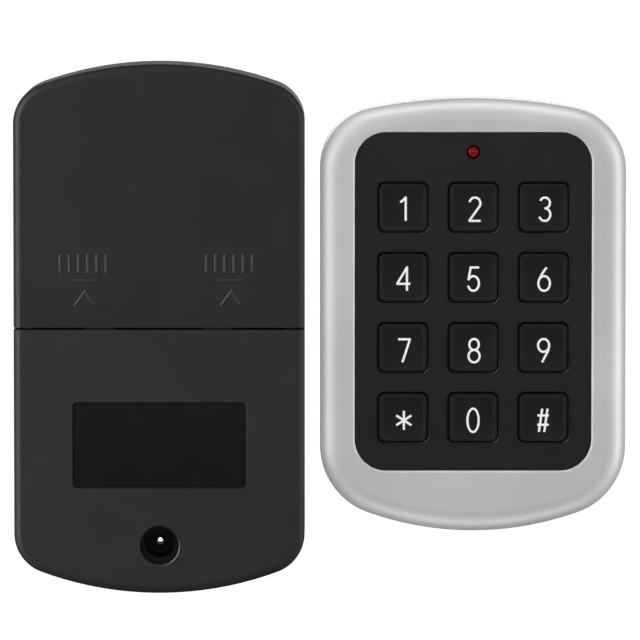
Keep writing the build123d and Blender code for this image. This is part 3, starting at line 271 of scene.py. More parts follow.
springNickel = makeMetal("Nickel-plated spring steel", "#b9b6ae", "#d2cfc7", 0.5, 0.2, 0.32)
pinNickel = makeMetal("Turned pin, bright nickel", "#dcdad6", "#efedea", 0.3, 0.08, 0.14)
jackBronze = makeMetal("Rolled phosphor bronze, tarnished", "#3d3730", "#4d463d", 0.4, 0.42, 0.55)
motorSteel = makeMetal("Drawn steel can, zinc plated", "#a9abad", "#bfc1c2", 0.6, 0.28, 0.4)
screwSteel = makeMetal("Cold-headed screw, black zinc", "#3a3a3b", "#4a4a4b", 0.4, 0.3, 0.42)
pinionBrass = makeMetal("Hobbed brass", "#b58e43", "#cfa95a", 0.3, 0.24, 0.34)
boltSteel = makeMetal("Bolt bar, satin brushed nickel", "#c9c9c5", "#d3d3cf", 0.6, 0.3, 0.36,
                      stretch=(0.06, 1, 1), anisotropy=0.3)

# Fibreglass board under green solder mask, with copper tracks showing as raised lines
boardSettings = {"mask": "#0f3d23", "track": "#1c5a34", "trackMm": 1.27, "tracksPerTile": 8,
                 "trackShare": 0.012, "roughness": 0.3, "ior": 1.55, "bumpMm": 0.03, "bumpStrength": 0.4}


def makeBoardMask(settings):
    material, tree = startMaterial("Fibreglass board, green solder mask")
    upright = addNode(tree, "ShaderNodeMapping", values={"Rotation": (math.radians(90), 0, 0)},
                      links={"Vector": objectPoint(tree)})
    maskColour = linearColour(settings["mask"])
    tracks = addNode(tree, "ShaderNodeTexBrick", values={
        "Scale": 1 / (settings["trackMm"] * settings["tracksPerTile"] * mm),
        "Mortar Size": settings["trackShare"], "Mortar": linearColour(settings["track"]),
        "Color1": maskColour, "Color2": maskColour,
    }, links={"Vector": upright.outputs[0]})
    shader = addNode(tree, "ShaderNodeBsdfPrincipled", values={
        "Roughness": settings["roughness"], "IOR": settings["ior"],
    }, links={
        "Base Color": tracks.outputs["Color"],
        "Normal": bumpOf(tree, tracks.outputs["Fac"], settings["bumpMm"], settings["bumpStrength"]),
    })
    finishMaterial(tree, shader)
    return material


boardMask = makeBoardMask(boardSettings)

# Ink screen-printed on the caps: nearly flat, a touch uneven, and glowing a little as painted light that
# brightens the print
inkSettings = {"dark": "#e4e4e4", "light": "#f2f2f2", "cloudMm": 0.25, "glow": 0.2, "ior": 1.48,
               "roughLow": 0.5, "roughHigh": 0.6}


def makeKeyInk(settings):
    material, tree = startMaterial("Screen-printed ink, white")
    cover = grainOf(tree, settings["cloudMm"])
    tint = tintOf(tree, cover, settings["dark"], settings["light"])
    # The emission is painted light: the ink glows in its own colour though it is no lamp
    shader = addNode(tree, "ShaderNodeBsdfPrincipled", values={
        "Emission Strength": settings["glow"], "IOR": settings["ior"],
    }, links={
        "Base Color": tint,
        "Emission Color": tint,
        "Roughness": rangeOf(tree, cover, settings["roughLow"], settings["roughHigh"]),
    })
    finishMaterial(tree, shader)
    return material


keyInk = makeKeyInk(inkSettings)

# Red diffused epoxy, unlit: light goes a little way in
lensSettings = {"dark": "#720100", "light": "#7e0200", "cloudMm": 0.8, "ior": 1.45, "specular": 0.22,
                "scatter": 0.1, "scatterMm": 0.4, "roughLow": 0.26, "roughHigh": 0.32}


def makeLensEpoxy(settings):
    material, tree = startMaterial("Cast epoxy lens, red diffused")
    cloud = grainOf(tree, settings["cloudMm"])
    shader = addNode(tree, "ShaderNodeBsdfPrincipled", values={
        "IOR": settings["ior"], "Specular IOR Level": settings["specular"],
        "Subsurface Weight": settings["scatter"], "Subsurface Scale": settings["scatterMm"] * mm,
    }, links={
        "Base Color": tintOf(tree, cloud, settings["dark"], settings["light"]),
        "Roughness": rangeOf(tree, cloud, settings["roughLow"], settings["roughHigh"]),
    })
    finishMaterial(tree, shader)
    return material


lensEpoxy = makeLensEpoxy(lensSettings)

# Polyester film with a glossy face, blank
blankFilm = makeMoulded("Polyester film, gloss black", {
    "dark": "#0a0a0a", "light": "#0d0d0d", "ior": 1.5, "grainMm": 7.0, "cloudMm": 7.0,
    "roughLow": 0.16, "roughHigh": 0.22, "bumpMm": 0.02, "bumpStrength": 0.1})

# Shrink sleeve on the cells: plain grey, darker towards the cap end
sleeveSettings = {"wrinkleMm": 1.2, "detail": 3.0, "stretch": (0.4, 1, 1), "ior": 1.5, "coat": 0.5,
                  "coatRough": 0.12, "roughLow": 0.28, "roughHigh": 0.4, "bumpMm": 0.01, "bumpStrength": 0.2}


def makeSleeve(name, darkHex, lightHex, settings):
    material, tree = startMaterial(name)
    wrinkle = grainOf(tree, settings["wrinkleMm"], settings["detail"], settings["stretch"])
    shader = addNode(tree, "ShaderNodeBsdfPrincipled", values={
        "IOR": settings["ior"], "Coat Weight": settings["coat"], "Coat Roughness": settings["coatRough"],
    }, links={
        "Base Color": tintOf(tree, wrinkle, darkHex, lightHex),
        "Roughness": rangeOf(tree, wrinkle, settings["roughLow"], settings["roughHigh"]),
        "Normal": bumpOf(tree, wrinkle, settings["bumpMm"], settings["bumpStrength"]),
    })
    finishMaterial(tree, shader)
    return material


sleeveGrey = makeSleeve("Shrink sleeve, plain silver grey", "#929598", "#989b9e", sleeveSettings)
sleeveBlue = makeSleeve("Shrink sleeve, slate band", "#3f4d5b", "#435261", sleeveSettings)
print("materials made:", len(bpy.data.materials))

# Every carried-over node gets its finish by name
finishes = {
    "rear_housing": mouldedAbs, "back_plate": mouldedAbs, "battery_cover": coverAbs,
    "keypad_back": mouldedAbs, "keypad_bezel": silverPaint, "keypad_panel": panelPolycarbonate,
    "battery_contacts": springNickel, "battery_springs": springNickel, "dc_jack_spring": jackBronze,
    "dc_jack_pin": pinNickel, "dc_jack_body": componentEpoxy, "board_parts": componentEpoxy,
    "keypad_chip": componentEpoxy, "buzzer": componentEpoxy, "bolt_switch": componentEpoxy,
    "switch_bodies": componentEpoxy, "control_board": boardMask, "keypad_board": boardMask,
    "cable_socket": socketNylon, "keypad_socket": socketNylon, "gearbox": gearAcetal,
    "bolt_guide": gearAcetal, "motor_can": motorSteel, "motor_bracket": motorSteel,
    "output_shaft": motorSteel, "drive_pinion": pinionBrass, "lock_bolt": boltSteel,
    "status_light": lensEpoxy, "mount_inserts": pinionBrass, "case_screws": screwSteel,
    "small_screws": motorSteel,
}
for nodeName, node in frame["nodes"].items():
    finish = finishes.get(nodeName)
    if nodeName.startswith("battery_") and nodeName[-1].isdigit():
        finish = sleeveGrey
    if nodeName.startswith("key_"):
        finish = keyPolycarbonate
    if nodeName.startswith("plunger_"):
        finish = componentEpoxy
    node.data.materials.clear()
    node.data.materials.append(finish)
print("finishes laid on the packed nodes")


def addPiece(name, body, mesh, material):
    mesh.materials.clear()
    mesh.materials.append(material)
    piece = bpy.data.objects.new(name, mesh)
    bpy.context.scene.collection.objects.link(piece)
    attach(piece, body)
    return piece


# Points along part of an ellipse, from one angle to another in degrees
degPerPoint, fewestSteps = 9, 3


def arcPoints(centreX, centreY, radiusX, radiusY, startDeg, endDeg):
    count = max(fewestSteps, int(abs(endDeg - startDeg) / degPerPoint))
    angles = [math.radians(startDeg + (endDeg - startDeg) * i / count) for i in range(count + 1)]
    return [(centreX + radiusX * math.cos(a), centreY + radiusY * math.sin(a)) for a in angles]


# Splits a pen line where it turns sharply
def splitAtCorners(points, limitDeg=35):
    runs, run = [], [points[0]]
    for before, here, after in zip(points, points[1:], points[2:]):
        run.append(here)
        turn = (Vector(here) - Vector(before)).angle(Vector(after) - Vector(here))
        if math.degrees(turn) > limitDeg:
            runs.append(run)
            run = [here]
    run.append(points[-1])
    runs.append(run)
    return runs


# The outline of a pen line of one width, with flat or round ends
capSteps = 8


def penOutline(points, width, roundStart, roundEnd):
    half = width / 2
    path = [Vector(p) for p in points]
    ways = [(b - a).normalized() for a, b in zip(path, path[1:])]
    left, right = [], []
    for i, point in enumerate(path):
        before, after = ways[max(i - 1, 0)], ways[min(i, len(ways) - 1)]
        middle = (before + after).normalized()
        normal = Vector((-middle.y, middle.x))
        reach = half / normal.dot(Vector((-after.y, after.x)))
        left.append(point + normal * reach)
        right.append(point - normal * reach)

    def capAround(centre, way):
        start = math.atan2(way.x, -way.y)
        angles = [start - math.pi * k / capSteps for k in range(1, capSteps)]
        return [centre + half * Vector((math.cos(a), math.sin(a))) for a in angles]

    outline = left + (capAround(path[-1], ways[-1]) if roundEnd else []) + right[::-1]
    return outline + (capAround(path[0], -ways[0]) if roundStart else [])


# A flat solid between two depths, from one or two loops drawn in X and Z
def slabMesh(outer, inner, back, front):
    bm = bmesh.new()
    rings = []
    for loop in ([outer, inner] if inner else [outer]):
        rings.append([[bm.verts.new((p[0], y, p[1])) for p in loop] for y in (back, front)])
    for backRing, frontRing in rings:
        count = len(backRing)
        for i in range(count):
            bm.faces.new((backRing[i], backRing[(i + 1) % count], frontRing[(i + 1) % count], frontRing[i]))
    if inner:
        for level in (0, 1):
            a, b = rings[0][level], rings[1][level]
            for i in range(len(a)):
                bm.faces.new((a[i], a[(i + 1) % len(a)], b[(i + 1) % len(a)], b[i]))
    else:
        bm.faces.new(rings[0][0])
        bm.faces.new(rings[0][1])
    bmesh.ops.recalc_face_normals(bm, faces=bm.faces)
    mesh = bpy.data.meshes.new("slab")
    bm.to_mesh(mesh)
    bm.free()
    return mesh


# One slab for each run of a pen line between its sharp corners
def strokeSlabs(line, width, back, front):
    runs = splitAtCorners(line)
    return [slabMesh(penOutline(run, width, i > 0, i < len(runs) - 1), None, back, front)
            for i, run in enumerate(runs)]


# Joins meshes into one clean solid, or cuts the others from the first
def uniteMeshes(meshes, operation="UNION"):
    scene = bpy.context.scene
    holders = [bpy.data.objects.new("stroke", mesh) for mesh in meshes]
    for holder in holders:
        scene.collection.objects.link(holder)
    for other in holders[1:]:
        union = holders[0].modifiers.new("union", "BOOLEAN")
        union.operation, union.solver, union.object = operation, "EXACT", other
    bpy.context.view_layer.update()
    finished = holders[0].evaluated_get(bpy.context.evaluated_depsgraph_get())
    joined = bpy.data.meshes.new_from_object(finished)
    for holder in holders:
        bpy.data.objects.remove(holder)
    return joined


# Skins a stack of rings that all have the same number of points, and closes the first and the last.
# For a tube the last ring joins the first instead.
weldReach = 1e-7


def skinRings(rings, smoothDeg=35, tube=False):
    bm = bmesh.new()
    layers = [[bm.verts.new(p) for p in ring] for ring in rings]
    for a, b in zip(layers, layers[1:] + (layers[:1] if tube else [])):
        for i in range(len(a)):
            bm.faces.new((a[i - 1], a[i], b[i], b[i - 1]))
    if not tube:
        bm.faces.new(layers[0])
        bm.faces.new(layers[-1])
    bmesh.ops.remove_doubles(bm, verts=bm.verts, dist=weldReach)
    bmesh.ops.recalc_face_normals(bm, faces=bm.faces)
    mesh = bpy.data.meshes.new("skin")
    bm.to_mesh(mesh)
    bm.free()
    mesh.polygons.foreach_set("use_smooth", [True] * len(mesh.polygons))
    mesh.set_sharp_from_angle(angle=math.radians(smoothDeg))
    return mesh


# A turned mesh, from pairs of distance along its axis and radius, in mm
def turnedMesh(profile, start, way, sides=40, tube=False):
    along = Vector(way)
    side = along.orthogonal().normalized()
    up = along.cross(side)
    angles = [2 * math.pi * i / sides for i in range(sides)]
    spokes = [side * math.cos(a) + up * math.sin(a) for a in angles]
    rings = [[Vector(start) + (along * distance + spoke * radius) * mm for spoke in spokes]
             for distance, radius in profile]
    return skinRings(rings, tube=tube)


# The profile of a dome that ends at a tip, in the same pairs
def domeProfile(tip, height, radius, steps):
    angles = [math.radians(90 * i / steps) for i in range(steps + 1)]
    return [(tip - height * (1 - math.sin(a)), radius * math.cos(a)) for a in angles]


def roundedLoop(centreX, centreZ, width, height, corner):
    loop = []
    for signX, signZ, start in ((1, 1, 0), (-1, 1, 90), (-1, -1, 180), (1, -1, 270)):
        loop += arcPoints(centreX + signX * (width / 2 - corner), centreZ + signZ * (height / 2 - corner),
                          corner, corner, start, start + 90)
    return loop


# A keycap: narrow rounded edge, flat rim, shallow dish, and hollow behind round its post
capShape = {"size": 9.56, "corner": 1.15, "edge": 0.1, "rim": 0.3, "dish": 0.1, "dishRun": 0.3, "steps": 4,
            "dishCornerShare": 0.5, "flange": 0.6, "flangeDepth": 0.9, "backCorner": 0.4, "postReach": 1.1,
            "roof": 1.4, "wall": 1.235, "post": 1.75}


def capRings(low, high):
    cap = capShape
    x, z = (low.x + high.x) / 2, (low.z + high.z) / 2
    backY, roofY = high.y - cap["postReach"] * mm, low.y + cap["roof"] * mm
    flangeY = backY - cap["flangeDepth"] * mm

    def ring(size, y, corner):
        return [(px, y, pz) for px, pz in roundedLoop(x, z, size * mm, size * mm, corner * mm)]

    rings = []
    for step in range(cap["steps"] + 1):   # up the side of the dish, from its floor to the rim
        share = 1 - step / cap["steps"]
        inset = cap["edge"] + cap["rim"] + cap["dishRun"] * share
        y = low.y + cap["dish"] * (1 - math.cos(math.pi * share)) / 2 * mm
        rings.append(ring(cap["size"] - 2 * inset, y, cap["corner"] - cap["dishCornerShare"] * inset))
    for step in range(cap["steps"] + 1):   # round the outer edge
        angle = math.radians(90 * step / cap["steps"])
        inset = cap["edge"] * (1 - math.sin(angle))
        y = low.y + cap["edge"] * (1 - math.cos(angle)) * mm
        rings.append(ring(cap["size"] - 2 * inset, y, cap["corner"] - inset))
    rings.append(ring(cap["size"], flangeY, cap["corner"]))
    flangeSize, hollowSize = cap["size"] + 2 * cap["flange"], cap["size"] - 2 * cap["wall"]
    for size, y in ((flangeSize, flangeY), (flangeSize, backY), (hollowSize, backY), (hollowSize, roofY)):
        rings.append(ring(size, y, cap["backCorner"]))
    for y in (roofY, high.y):
        rings.append(ring(2 * cap["post"], y, cap["post"]))
    return rings


# The printed numbers and signs. Strokes are shares of half the glyph's width and height;
# a stroke marked as a ring is a closed oval: centre, radii.
glyphPrint = {"halfWidth": 1.14, "halfHeight": 2.37, "stroke": 0.45, "back": 0.03, "proud": 0.035,
              "dropByRow": (0.35, 0.31, 0.61, 0.56), "ringSteps": 48}
glyphStrokes = {
    "1": [[(-0.51, 0.59), (-0.02, 0.76), (0.44, 1.0), (0.47, 0.98), (0.47, -1.0)]],
    "2": [arcPoints(0.27, 0.5, 0.97, 0.5, 168, -28) + [(-0.7, -0.96), (-0.66, -1.0), (1.27, -1.0)]],
    "3": [arcPoints(0.22, 0.54, 0.88, 0.46, 158, -78), arcPoints(0.18, -0.46, 1.0, 0.54, 85, -160),
          [(0.12, 0.08), (0.42, 0.08)]],
    "4": [[(0.7, -1.0), (0.7, 1.0), (-1.04, -0.4), (1.29, -0.4)]],
    "5": [[(1.05, 1.0), (-0.46, 1.0), (-0.86, -0.02)] + arcPoints(0.02, -0.37, 0.98, 0.63, 140, -162)],
    "6": [("ring", 0.1, -0.37, 1.03, 0.63), [(0.53, 1.0), (-0.3, 0.44), (-0.78, -0.02), (-0.93, -0.3)]],
    "7": [[(-0.85, 0.98), (1.24, 0.98), (-0.1, -1.0)]],
    "8": [("ring", 0.16, 0.53, 0.85, 0.47), ("ring", 0.16, -0.47, 0.99, 0.53)],
    "9": [("ring", 0.04, 0.45, 0.99, 0.55), [(1.03, 0.4), (0.86, 0.0), (-0.23, -1.0)]],
    "star": [[(0.17, 0.82), (0.17, -0.82)], [(-1.18, 0.42), (1.52, -0.42)], [(-1.18, -0.42), (1.52, 0.42)]],
    "0": [("ring", 0.0, 0.0, 1.0, 1.0)],
    "hash": [[(-0.18, 1.0), (-0.77, -1.0)], [(0.77, 1.0), (0.18, -1.0)],
             [(-1.04, 0.42), (0.98, 0.42)], [(-1.04, -0.38), (0.98, -0.38)]],
}
keyOrder = ["1", "2", "3", "4", "5", "6", "7", "8", "9", "star", "0", "hash"]
keysPerRow = 3


def ringLoops(cx, cy, rx, ry, width):
    angles = [2 * math.pi * i / glyphPrint["ringSteps"] for i in range(glyphPrint["ringSteps"])]
    return [[(cx + (rx + side * width / 2) * math.cos(a), cy + (ry + side * width / 2) * math.sin(a))
             for a in angles] for side in (1, -1)]


for number, name in enumerate(keyOrder):
    low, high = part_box(f"key_{name}")
    centreX = (low.x + high.x) / 2
    centreZ = (low.z + high.z) / 2 - glyphPrint["dropByRow"][number // keysPerRow] * mm
    capMesh = skinRings(capRings(low, high))
    cap = addPiece(f"keycap_{name}", f"key_{name}", capMesh, keyPolycarbonate)
    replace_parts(cap, f"key_{name}")
    dishY = low.y + capShape["dish"] * mm
    back, front = dishY + glyphPrint["back"] * mm, dishY - glyphPrint["proud"] * mm
    scaleX, scaleZ = glyphPrint["halfWidth"] * mm, glyphPrint["halfHeight"] * mm
    width = glyphPrint["stroke"] * mm
    slabs = []
    for stroke in glyphStrokes[name]:
        if stroke[0] == "ring":
            x, z, rx, rz = stroke[1:]
            outer, inner = ringLoops(centreX + x * scaleX, centreZ + z * scaleZ, rx * scaleX, rz * scaleZ,
                                     width)
            slabs.append(slabMesh(outer, inner, back, front))
        else:
            line = [(centreX + x * scaleX, centreZ + z * scaleZ) for x, z in stroke]
            slabs += strokeSlabs(line, width, back, front)
    addPiece(f"glyph_{name}", f"key_{name}", uniteMeshes(slabs), keyInk)
print("keycaps moulded and printed")

# Raised grip ribs with an arrow below them, twice on the battery cover
gripMark = {"centres": (-15.3, 14.3), "ribTop": 15.1, "ribHeight": 3.4, "ribs": 6, "ribPitch": 1.86,
            "stroke": 0.6, "proud": 0.19, "sunk": 0.1, "draft": 0.2, "draftDeg": 28, "smoothDeg": 20,
            "barZ": 10.0, "barHalf": 2.45, "arrowTop": 7.7, "arrowFoot": 5.0, "arrowHalf": 2.0,
            "arrowSide": 0.35}


def markStrokes(centre):
    mark = gripMark
    first = centre - mark["ribPitch"] * (mark["ribs"] - 1) / 2
    strokes = []
    for rib in range(mark["ribs"]):
        x = first + rib * mark["ribPitch"]
        strokes.append([(x, mark["ribTop"]), (x, mark["ribTop"] - mark["ribHeight"])])
    arrowX = centre + mark["arrowSide"]
    strokes.append([(arrowX - mark["barHalf"], mark["barZ"]), (arrowX + mark["barHalf"], mark["barZ"])])
    strokes.append([(arrowX - mark["arrowHalf"], mark["arrowFoot"]), (arrowX, mark["arrowTop"]),
                    (arrowX + mark["arrowHalf"], mark["arrowFoot"])])
    return strokes


# A raised stroke: upright foot, sides drawn in at a draft angle, flat top
def ridgeMesh(line, faceY):
    mark = gripMark
    shoulder = mark["proud"] - mark["draft"] * math.tan(math.radians(mark["draftDeg"]))
    rings = []
    for width, proud in ((mark["stroke"], -mark["sunk"]), (mark["stroke"], shoulder),
                         (mark["stroke"] - 2 * mark["draft"], mark["proud"])):
        outline = penOutline(line, width * mm, True, True)
        rings.append([(x, faceY - proud * mm, z) for x, z in outline])
    return skinRings(rings, mark["smoothDeg"])


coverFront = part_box("battery_cover")[0].y
for side, centre in zip(("left", "right"), gripMark["centres"]):
    ridges = [ridgeMesh([(x * mm, z * mm) for x, z in stroke], coverFront) for stroke in markStrokes(centre)]
    addPiece(f"grip_mark_{side}", "battery_cover", uniteMeshes(ridges), rubbedAbsPaintedHighlight)
print("grip marks raised")

# A blank film plate lies in the housing's recess
plateShape = {"width": 34.7, "height": 17.1, "corner": 0.9, "z": -23.5, "depth": 0.8, "thickness": 0.3,
              "edge": 0.08, "edgeSegments": 2}
housingLow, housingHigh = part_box("rear_housing")
housingFront = housingLow.y
plateLoop = roundedLoop(0, plateShape["z"] * mm, plateShape["width"] * mm, plateShape["height"] * mm,
                        plateShape["corner"] * mm)
plateBack = housingFront + plateShape["depth"] * mm
plateMesh = slabMesh(plateLoop, None, plateBack, plateBack - plateShape["thickness"] * mm)
blankPlate = addPiece("blank_plate", "root", plateMesh, blankFilm)
plateEdge = blankPlate.modifiers.new("film edge", "BEVEL")
plateEdge.width = plateShape["edge"] * mm
plateEdge.segments = plateShape["edgeSegments"]
plateEdge.limit_method = "ANGLE"
print("blank plate laid in")

# Cells: a steel can with a nub, in a shrink sleeve whose last third is a darker band. The ends are pairs
# of distance and radius: foot and lip from the flat end, shoulder and nub back from their own end.
cellShape = {"radius": 5.25, "film": 0.2, "slack": 0.02, "length": 44.5, "nubLength": 1.0, "bandFrom": 29.0,
             "canBend": 0.5, "filmBend": 0.6, "sides": 56,
             "foot": [(0, 0), (0, 3.5), (0.12, 3.7), (0.15, 4.1), (0.3, 4.6)],
             "shoulder": [(0.3, 4.6), (0.15, 4.1), (0.15, 2.2), (0, 1.9)],
             "nub": [(0.2, 1.9), (0.05, 1.75), (0, 1.45), (0, 0)],
             "lip": [(0.35, 4.65), (0.2, 4.45), (0.05, 4.55), (0.08, 4.95), (0.3, 5.2)]}


def cellProfiles():
    cell = cellShape
    outer, inner = cell["radius"], cell["radius"] - cell["film"]
    length, shoulder = cell["length"], cell["length"] - cell["nubLength"]
    canRadius = inner - cell["slack"]
    can = cell["foot"] + [(cell["canBend"], canRadius), (shoulder - cell["canBend"], canRadius)]
    can += [(shoulder - back, radius) for back, radius in cell["shoulder"]]
    can += [(length - back, radius) for back, radius in cell["nub"]]
    middle = [(cell["bandFrom"], outer), (cell["bandFrom"], inner)]
    sleeve = [(cell["canBend"], inner)] + cell["lip"] + [(cell["filmBend"], outer)] + middle
    headLip = [(shoulder - back, radius) for back, radius in cell["lip"]]
    band = [(shoulder - cell["canBend"], inner)] + headLip + [(shoulder - cell["filmBend"], outer)] + middle
    return can, sleeve, band


canProfile, sleeveProfile, bandProfile = cellProfiles()
for number in (1, 2, 3, 4):
    low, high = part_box(f"battery_{number}")
    way = (1, 0, 0) if number % 2 else (-1, 0, 0)   # every other cell is turned round
    start = Vector((low.x if number % 2 else high.x, (low.y + high.y) / 2, (low.z + high.z) / 2))
    canMesh = turnedMesh(canProfile, start, way, cellShape["sides"])
    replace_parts(addPiece(f"cell_can_{number}", "root", canMesh, motorSteel), f"battery_{number}")
    for layer, profile, film in (("sleeve", sleeveProfile, sleeveGrey), ("band", bandProfile, sleeveBlue)):
        filmMesh = turnedMesh(profile, start, way, cellShape["sides"], True)
        addPiece(f"cell_{layer}_{number}", "root", filmMesh, film)
print("cells sleeved")

# Case screws: countersunk heads with a cross recess, and a thread of close rings
screwShape = {"radius": 1.2, "root": 0.92, "head": 2.4, "headRound": 0.1, "rim": 0.12, "length": 8.0,
              "pitch": 0.7, "flankShare": 0.25, "threadFrom": 1.9, "threadEnd": 0.6, "taper": 0.5,
              "tip": 0.3, "recessArm": 1.3, "recessWidth": 0.5, "recessDepth": 0.9, "recessOver": 1.0,
              "sides": 32, "turnDeg": 37}


def screwMesh():
    screw = screwShape
    radius, root, head, pitch = (screw[size] for size in ("radius", "root", "head", "pitch"))
    flank = screw["flankShare"] * pitch
    profile = [(0, 0), (0, head - screw["headRound"]), (screw["rim"], head),
               (head - radius + screw["rim"], radius), (screw["threadFrom"], radius)]
    place = screw["threadFrom"]
    while place + pitch < screw["length"] - screw["threadEnd"]:
        profile += [(place + flank, root), (place + pitch - flank, root), (place + pitch, radius)]
        place += pitch
    profile += [(screw["length"] - screw["taper"], root), (screw["length"], screw["tip"]),
                (screw["length"], 0)]
    body = turnedMesh(profile, (0, 0, 0), (0, -1, 0), screw["sides"])
    arm, half = screw["recessArm"] * mm, screw["recessWidth"] * mm / 2
    cross = [(half, half), (half, arm), (-half, arm), (-half, half), (-arm, half), (-arm, -half),
             (-half, -half), (-half, -arm), (half, -arm), (half, -half), (arm, -half), (arm, half)]
    cutter = slabMesh(cross, None, screw["recessOver"] * mm, -screw["recessDepth"] * mm)
    return uniteMeshes([body, cutter], "DIFFERENCE")


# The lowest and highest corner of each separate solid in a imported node
cornerWeld = 1e-6


def solidBoxes(nodeName):
    bm = bmesh.new()
    bm.from_mesh(frame["nodes"][nodeName].data)
    bmesh.ops.remove_doubles(bm, verts=bm.verts, dist=cornerWeld)
    bm.verts.ensure_lookup_table()
    seenVerts, boxes = set(), []
    for first in bm.verts:
        if first in seenVerts:
            continue
        seenVerts.add(first)
        waiting, island = [first], []
        while waiting:
            vert = waiting.pop()
            island.append(vert.co.copy())
            for edge in vert.link_edges:
                other = edge.other_vert(vert)
                if other not in seenVerts:
                    seenVerts.add(other)
                    waiting.append(other)
        boxes.append([Vector([pick(point[i] for point in island) for i in range(3)]) for pick in (min, max)])
    bm.free()
    return boxes


screwMaster = screwMesh()
for number, (low, high) in enumerate(solidBoxes("case_screws"), 1):
    mesh = screwMaster.copy()
    turn = math.radians(screwShape["turnDeg"] * number)   # each was driven home to its own angle
    place = Matrix.Translation(((low.x + high.x) / 2, high.y, (low.z + high.z) / 2))
    mesh.transform(place @ Matrix.Rotation(turn, 4, "Y"))
    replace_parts(addPiece(f"case_screw_{number}", "root", mesh, screwSteel), "case_screws")
print("case screws driven")

# The jack's pin has a domed tip, and the keypad's header has its own metal pins
pinShape = {"radius": 1.05, "dome": 0.35, "domeSteps": 6}
low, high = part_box("dc_jack_pin")
jackX, jackZ = (low.x + high.x) / 2, (low.z + high.z) / 2
pinTip = domeProfile((high.y - low.y) / mm, pinShape["dome"], pinShape["radius"], pinShape["domeSteps"])
pinMesh = turnedMesh([(0, 0), (0, pinShape["radius"])] + pinTip, (jackX, high.y, jackZ), (0, -1, 0))
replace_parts(addPiece("jack_pin_domed", "root", pinMesh, pinNickel), "dc_jack_pin")
headerPins = {"count": 4, "pitch": 2.54, "width": 0.7, "corner": 0.06, "from": 5.9, "to": 3.2}
low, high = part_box("keypad_socket")
for number in range(headerPins["count"]):
    fromMiddle = (number - (headerPins["count"] - 1) / 2) * headerPins["pitch"] * mm
    loop = roundedLoop((low.x + high.x) / 2 + fromMiddle, (low.z + high.z) / 2, headerPins["width"] * mm,
                       headerPins["width"] * mm, headerPins["corner"] * mm)
    mesh = slabMesh(loop, None, -headerPins["from"] * mm, -headerPins["to"] * mm)
    addPiece(f"header_pin_{number + 1}", "root", mesh, pinNickel)
print("pins set")

# The status light: a low dome over a straight barrel with a flange, on two legs
lightShape = {"radius": 1.35, "flange": 1.7, "flangeDepth": 0.35, "bodyDepth": 5.3, "domeHeight": 1.25,
              "domeSteps": 9, "sides": 48, "leg": 0.5, "legCorner": 0.05, "legPitch": 1.6}
low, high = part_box("status_light")
bulb = lightShape
lightX, lightZ = (low.x + high.x) / 2, (low.z + high.z) / 2
footY = low.y + bulb["bodyDepth"] * mm
barrel = [(0, 0), (0, bulb["flange"]), (bulb["flangeDepth"], bulb["flange"]),
          (bulb["flangeDepth"], bulb["radius"])]
lightDome = domeProfile(bulb["bodyDepth"], bulb["domeHeight"], bulb["radius"], bulb["domeSteps"])
lens = turnedMesh(barrel + lightDome, (lightX, footY, lightZ), (0, -1, 0), bulb["sides"])
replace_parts(addPiece("light_lens", "root", lens, lensEpoxy), "status_light")
for side, sign in (("left", -1), ("right", 1)):
    loop = roundedLoop(lightX + sign * bulb["legPitch"] / 2 * mm, lightZ, bulb["leg"] * mm, bulb["leg"] * mm,
                       bulb["legCorner"] * mm)
    leg = addPiece(f"light_leg_{side}", "root", slabMesh(loop, None, high.y, footY), pinNickel)
    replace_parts(leg, "status_light")
print("status light set")

# Openings have a narrow raised lip, bevelled towards the opening, where it catches the light
lipShape = {"overhang": 0.03, "bevelDeg": 30, "crest": 0.03, "deep": 0.25, "smoothDeg": 20,
            "keyOpening": 10.35, "keyCorner": 1.4, "keyBevel": 0.14, "inletRadius": 4.05, "inletBevel": 0.2}


def lipMesh(centreX, centreZ, size, corner, faceY, bevel):
    lip = lipShape
    proud = bevel * math.tan(math.radians(lip["bevelDeg"]))
    inside, crest = -lip["overhang"], bevel - lip["overhang"]
    outside = crest + lip["crest"]
    rings = []
    for offset, depth in ((inside, lip["deep"]), (inside, 0), (crest, -proud), (outside, -proud),
                          (outside, lip["deep"])):
        width = (size + 2 * offset) * mm
        loop = roundedLoop(centreX, centreZ, width, width, (corner + offset) * mm)
        rings.append([(x, faceY + depth * mm, z) for x, z in loop])
    return skinRings(rings, lip["smoothDeg"], True)


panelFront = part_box("keypad_panel")[0].y
for name in keyOrder:
    low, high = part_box(f"key_{name}")
    mesh = lipMesh((low.x + high.x) / 2, (low.z + high.z) / 2, lipShape["keyOpening"], lipShape["keyCorner"],
                   panelFront, lipShape["keyBevel"])
    addPiece(f"key_lip_{name}", "root", mesh, rubbedPanel)
inletMesh = lipMesh(jackX, jackZ, 2 * lipShape["inletRadius"], lipShape["inletRadius"], housingFront,
                    lipShape["inletBevel"])
addPiece("inlet_lip", "root", inletMesh, polishedAbs)
print("lips laid round the openings")

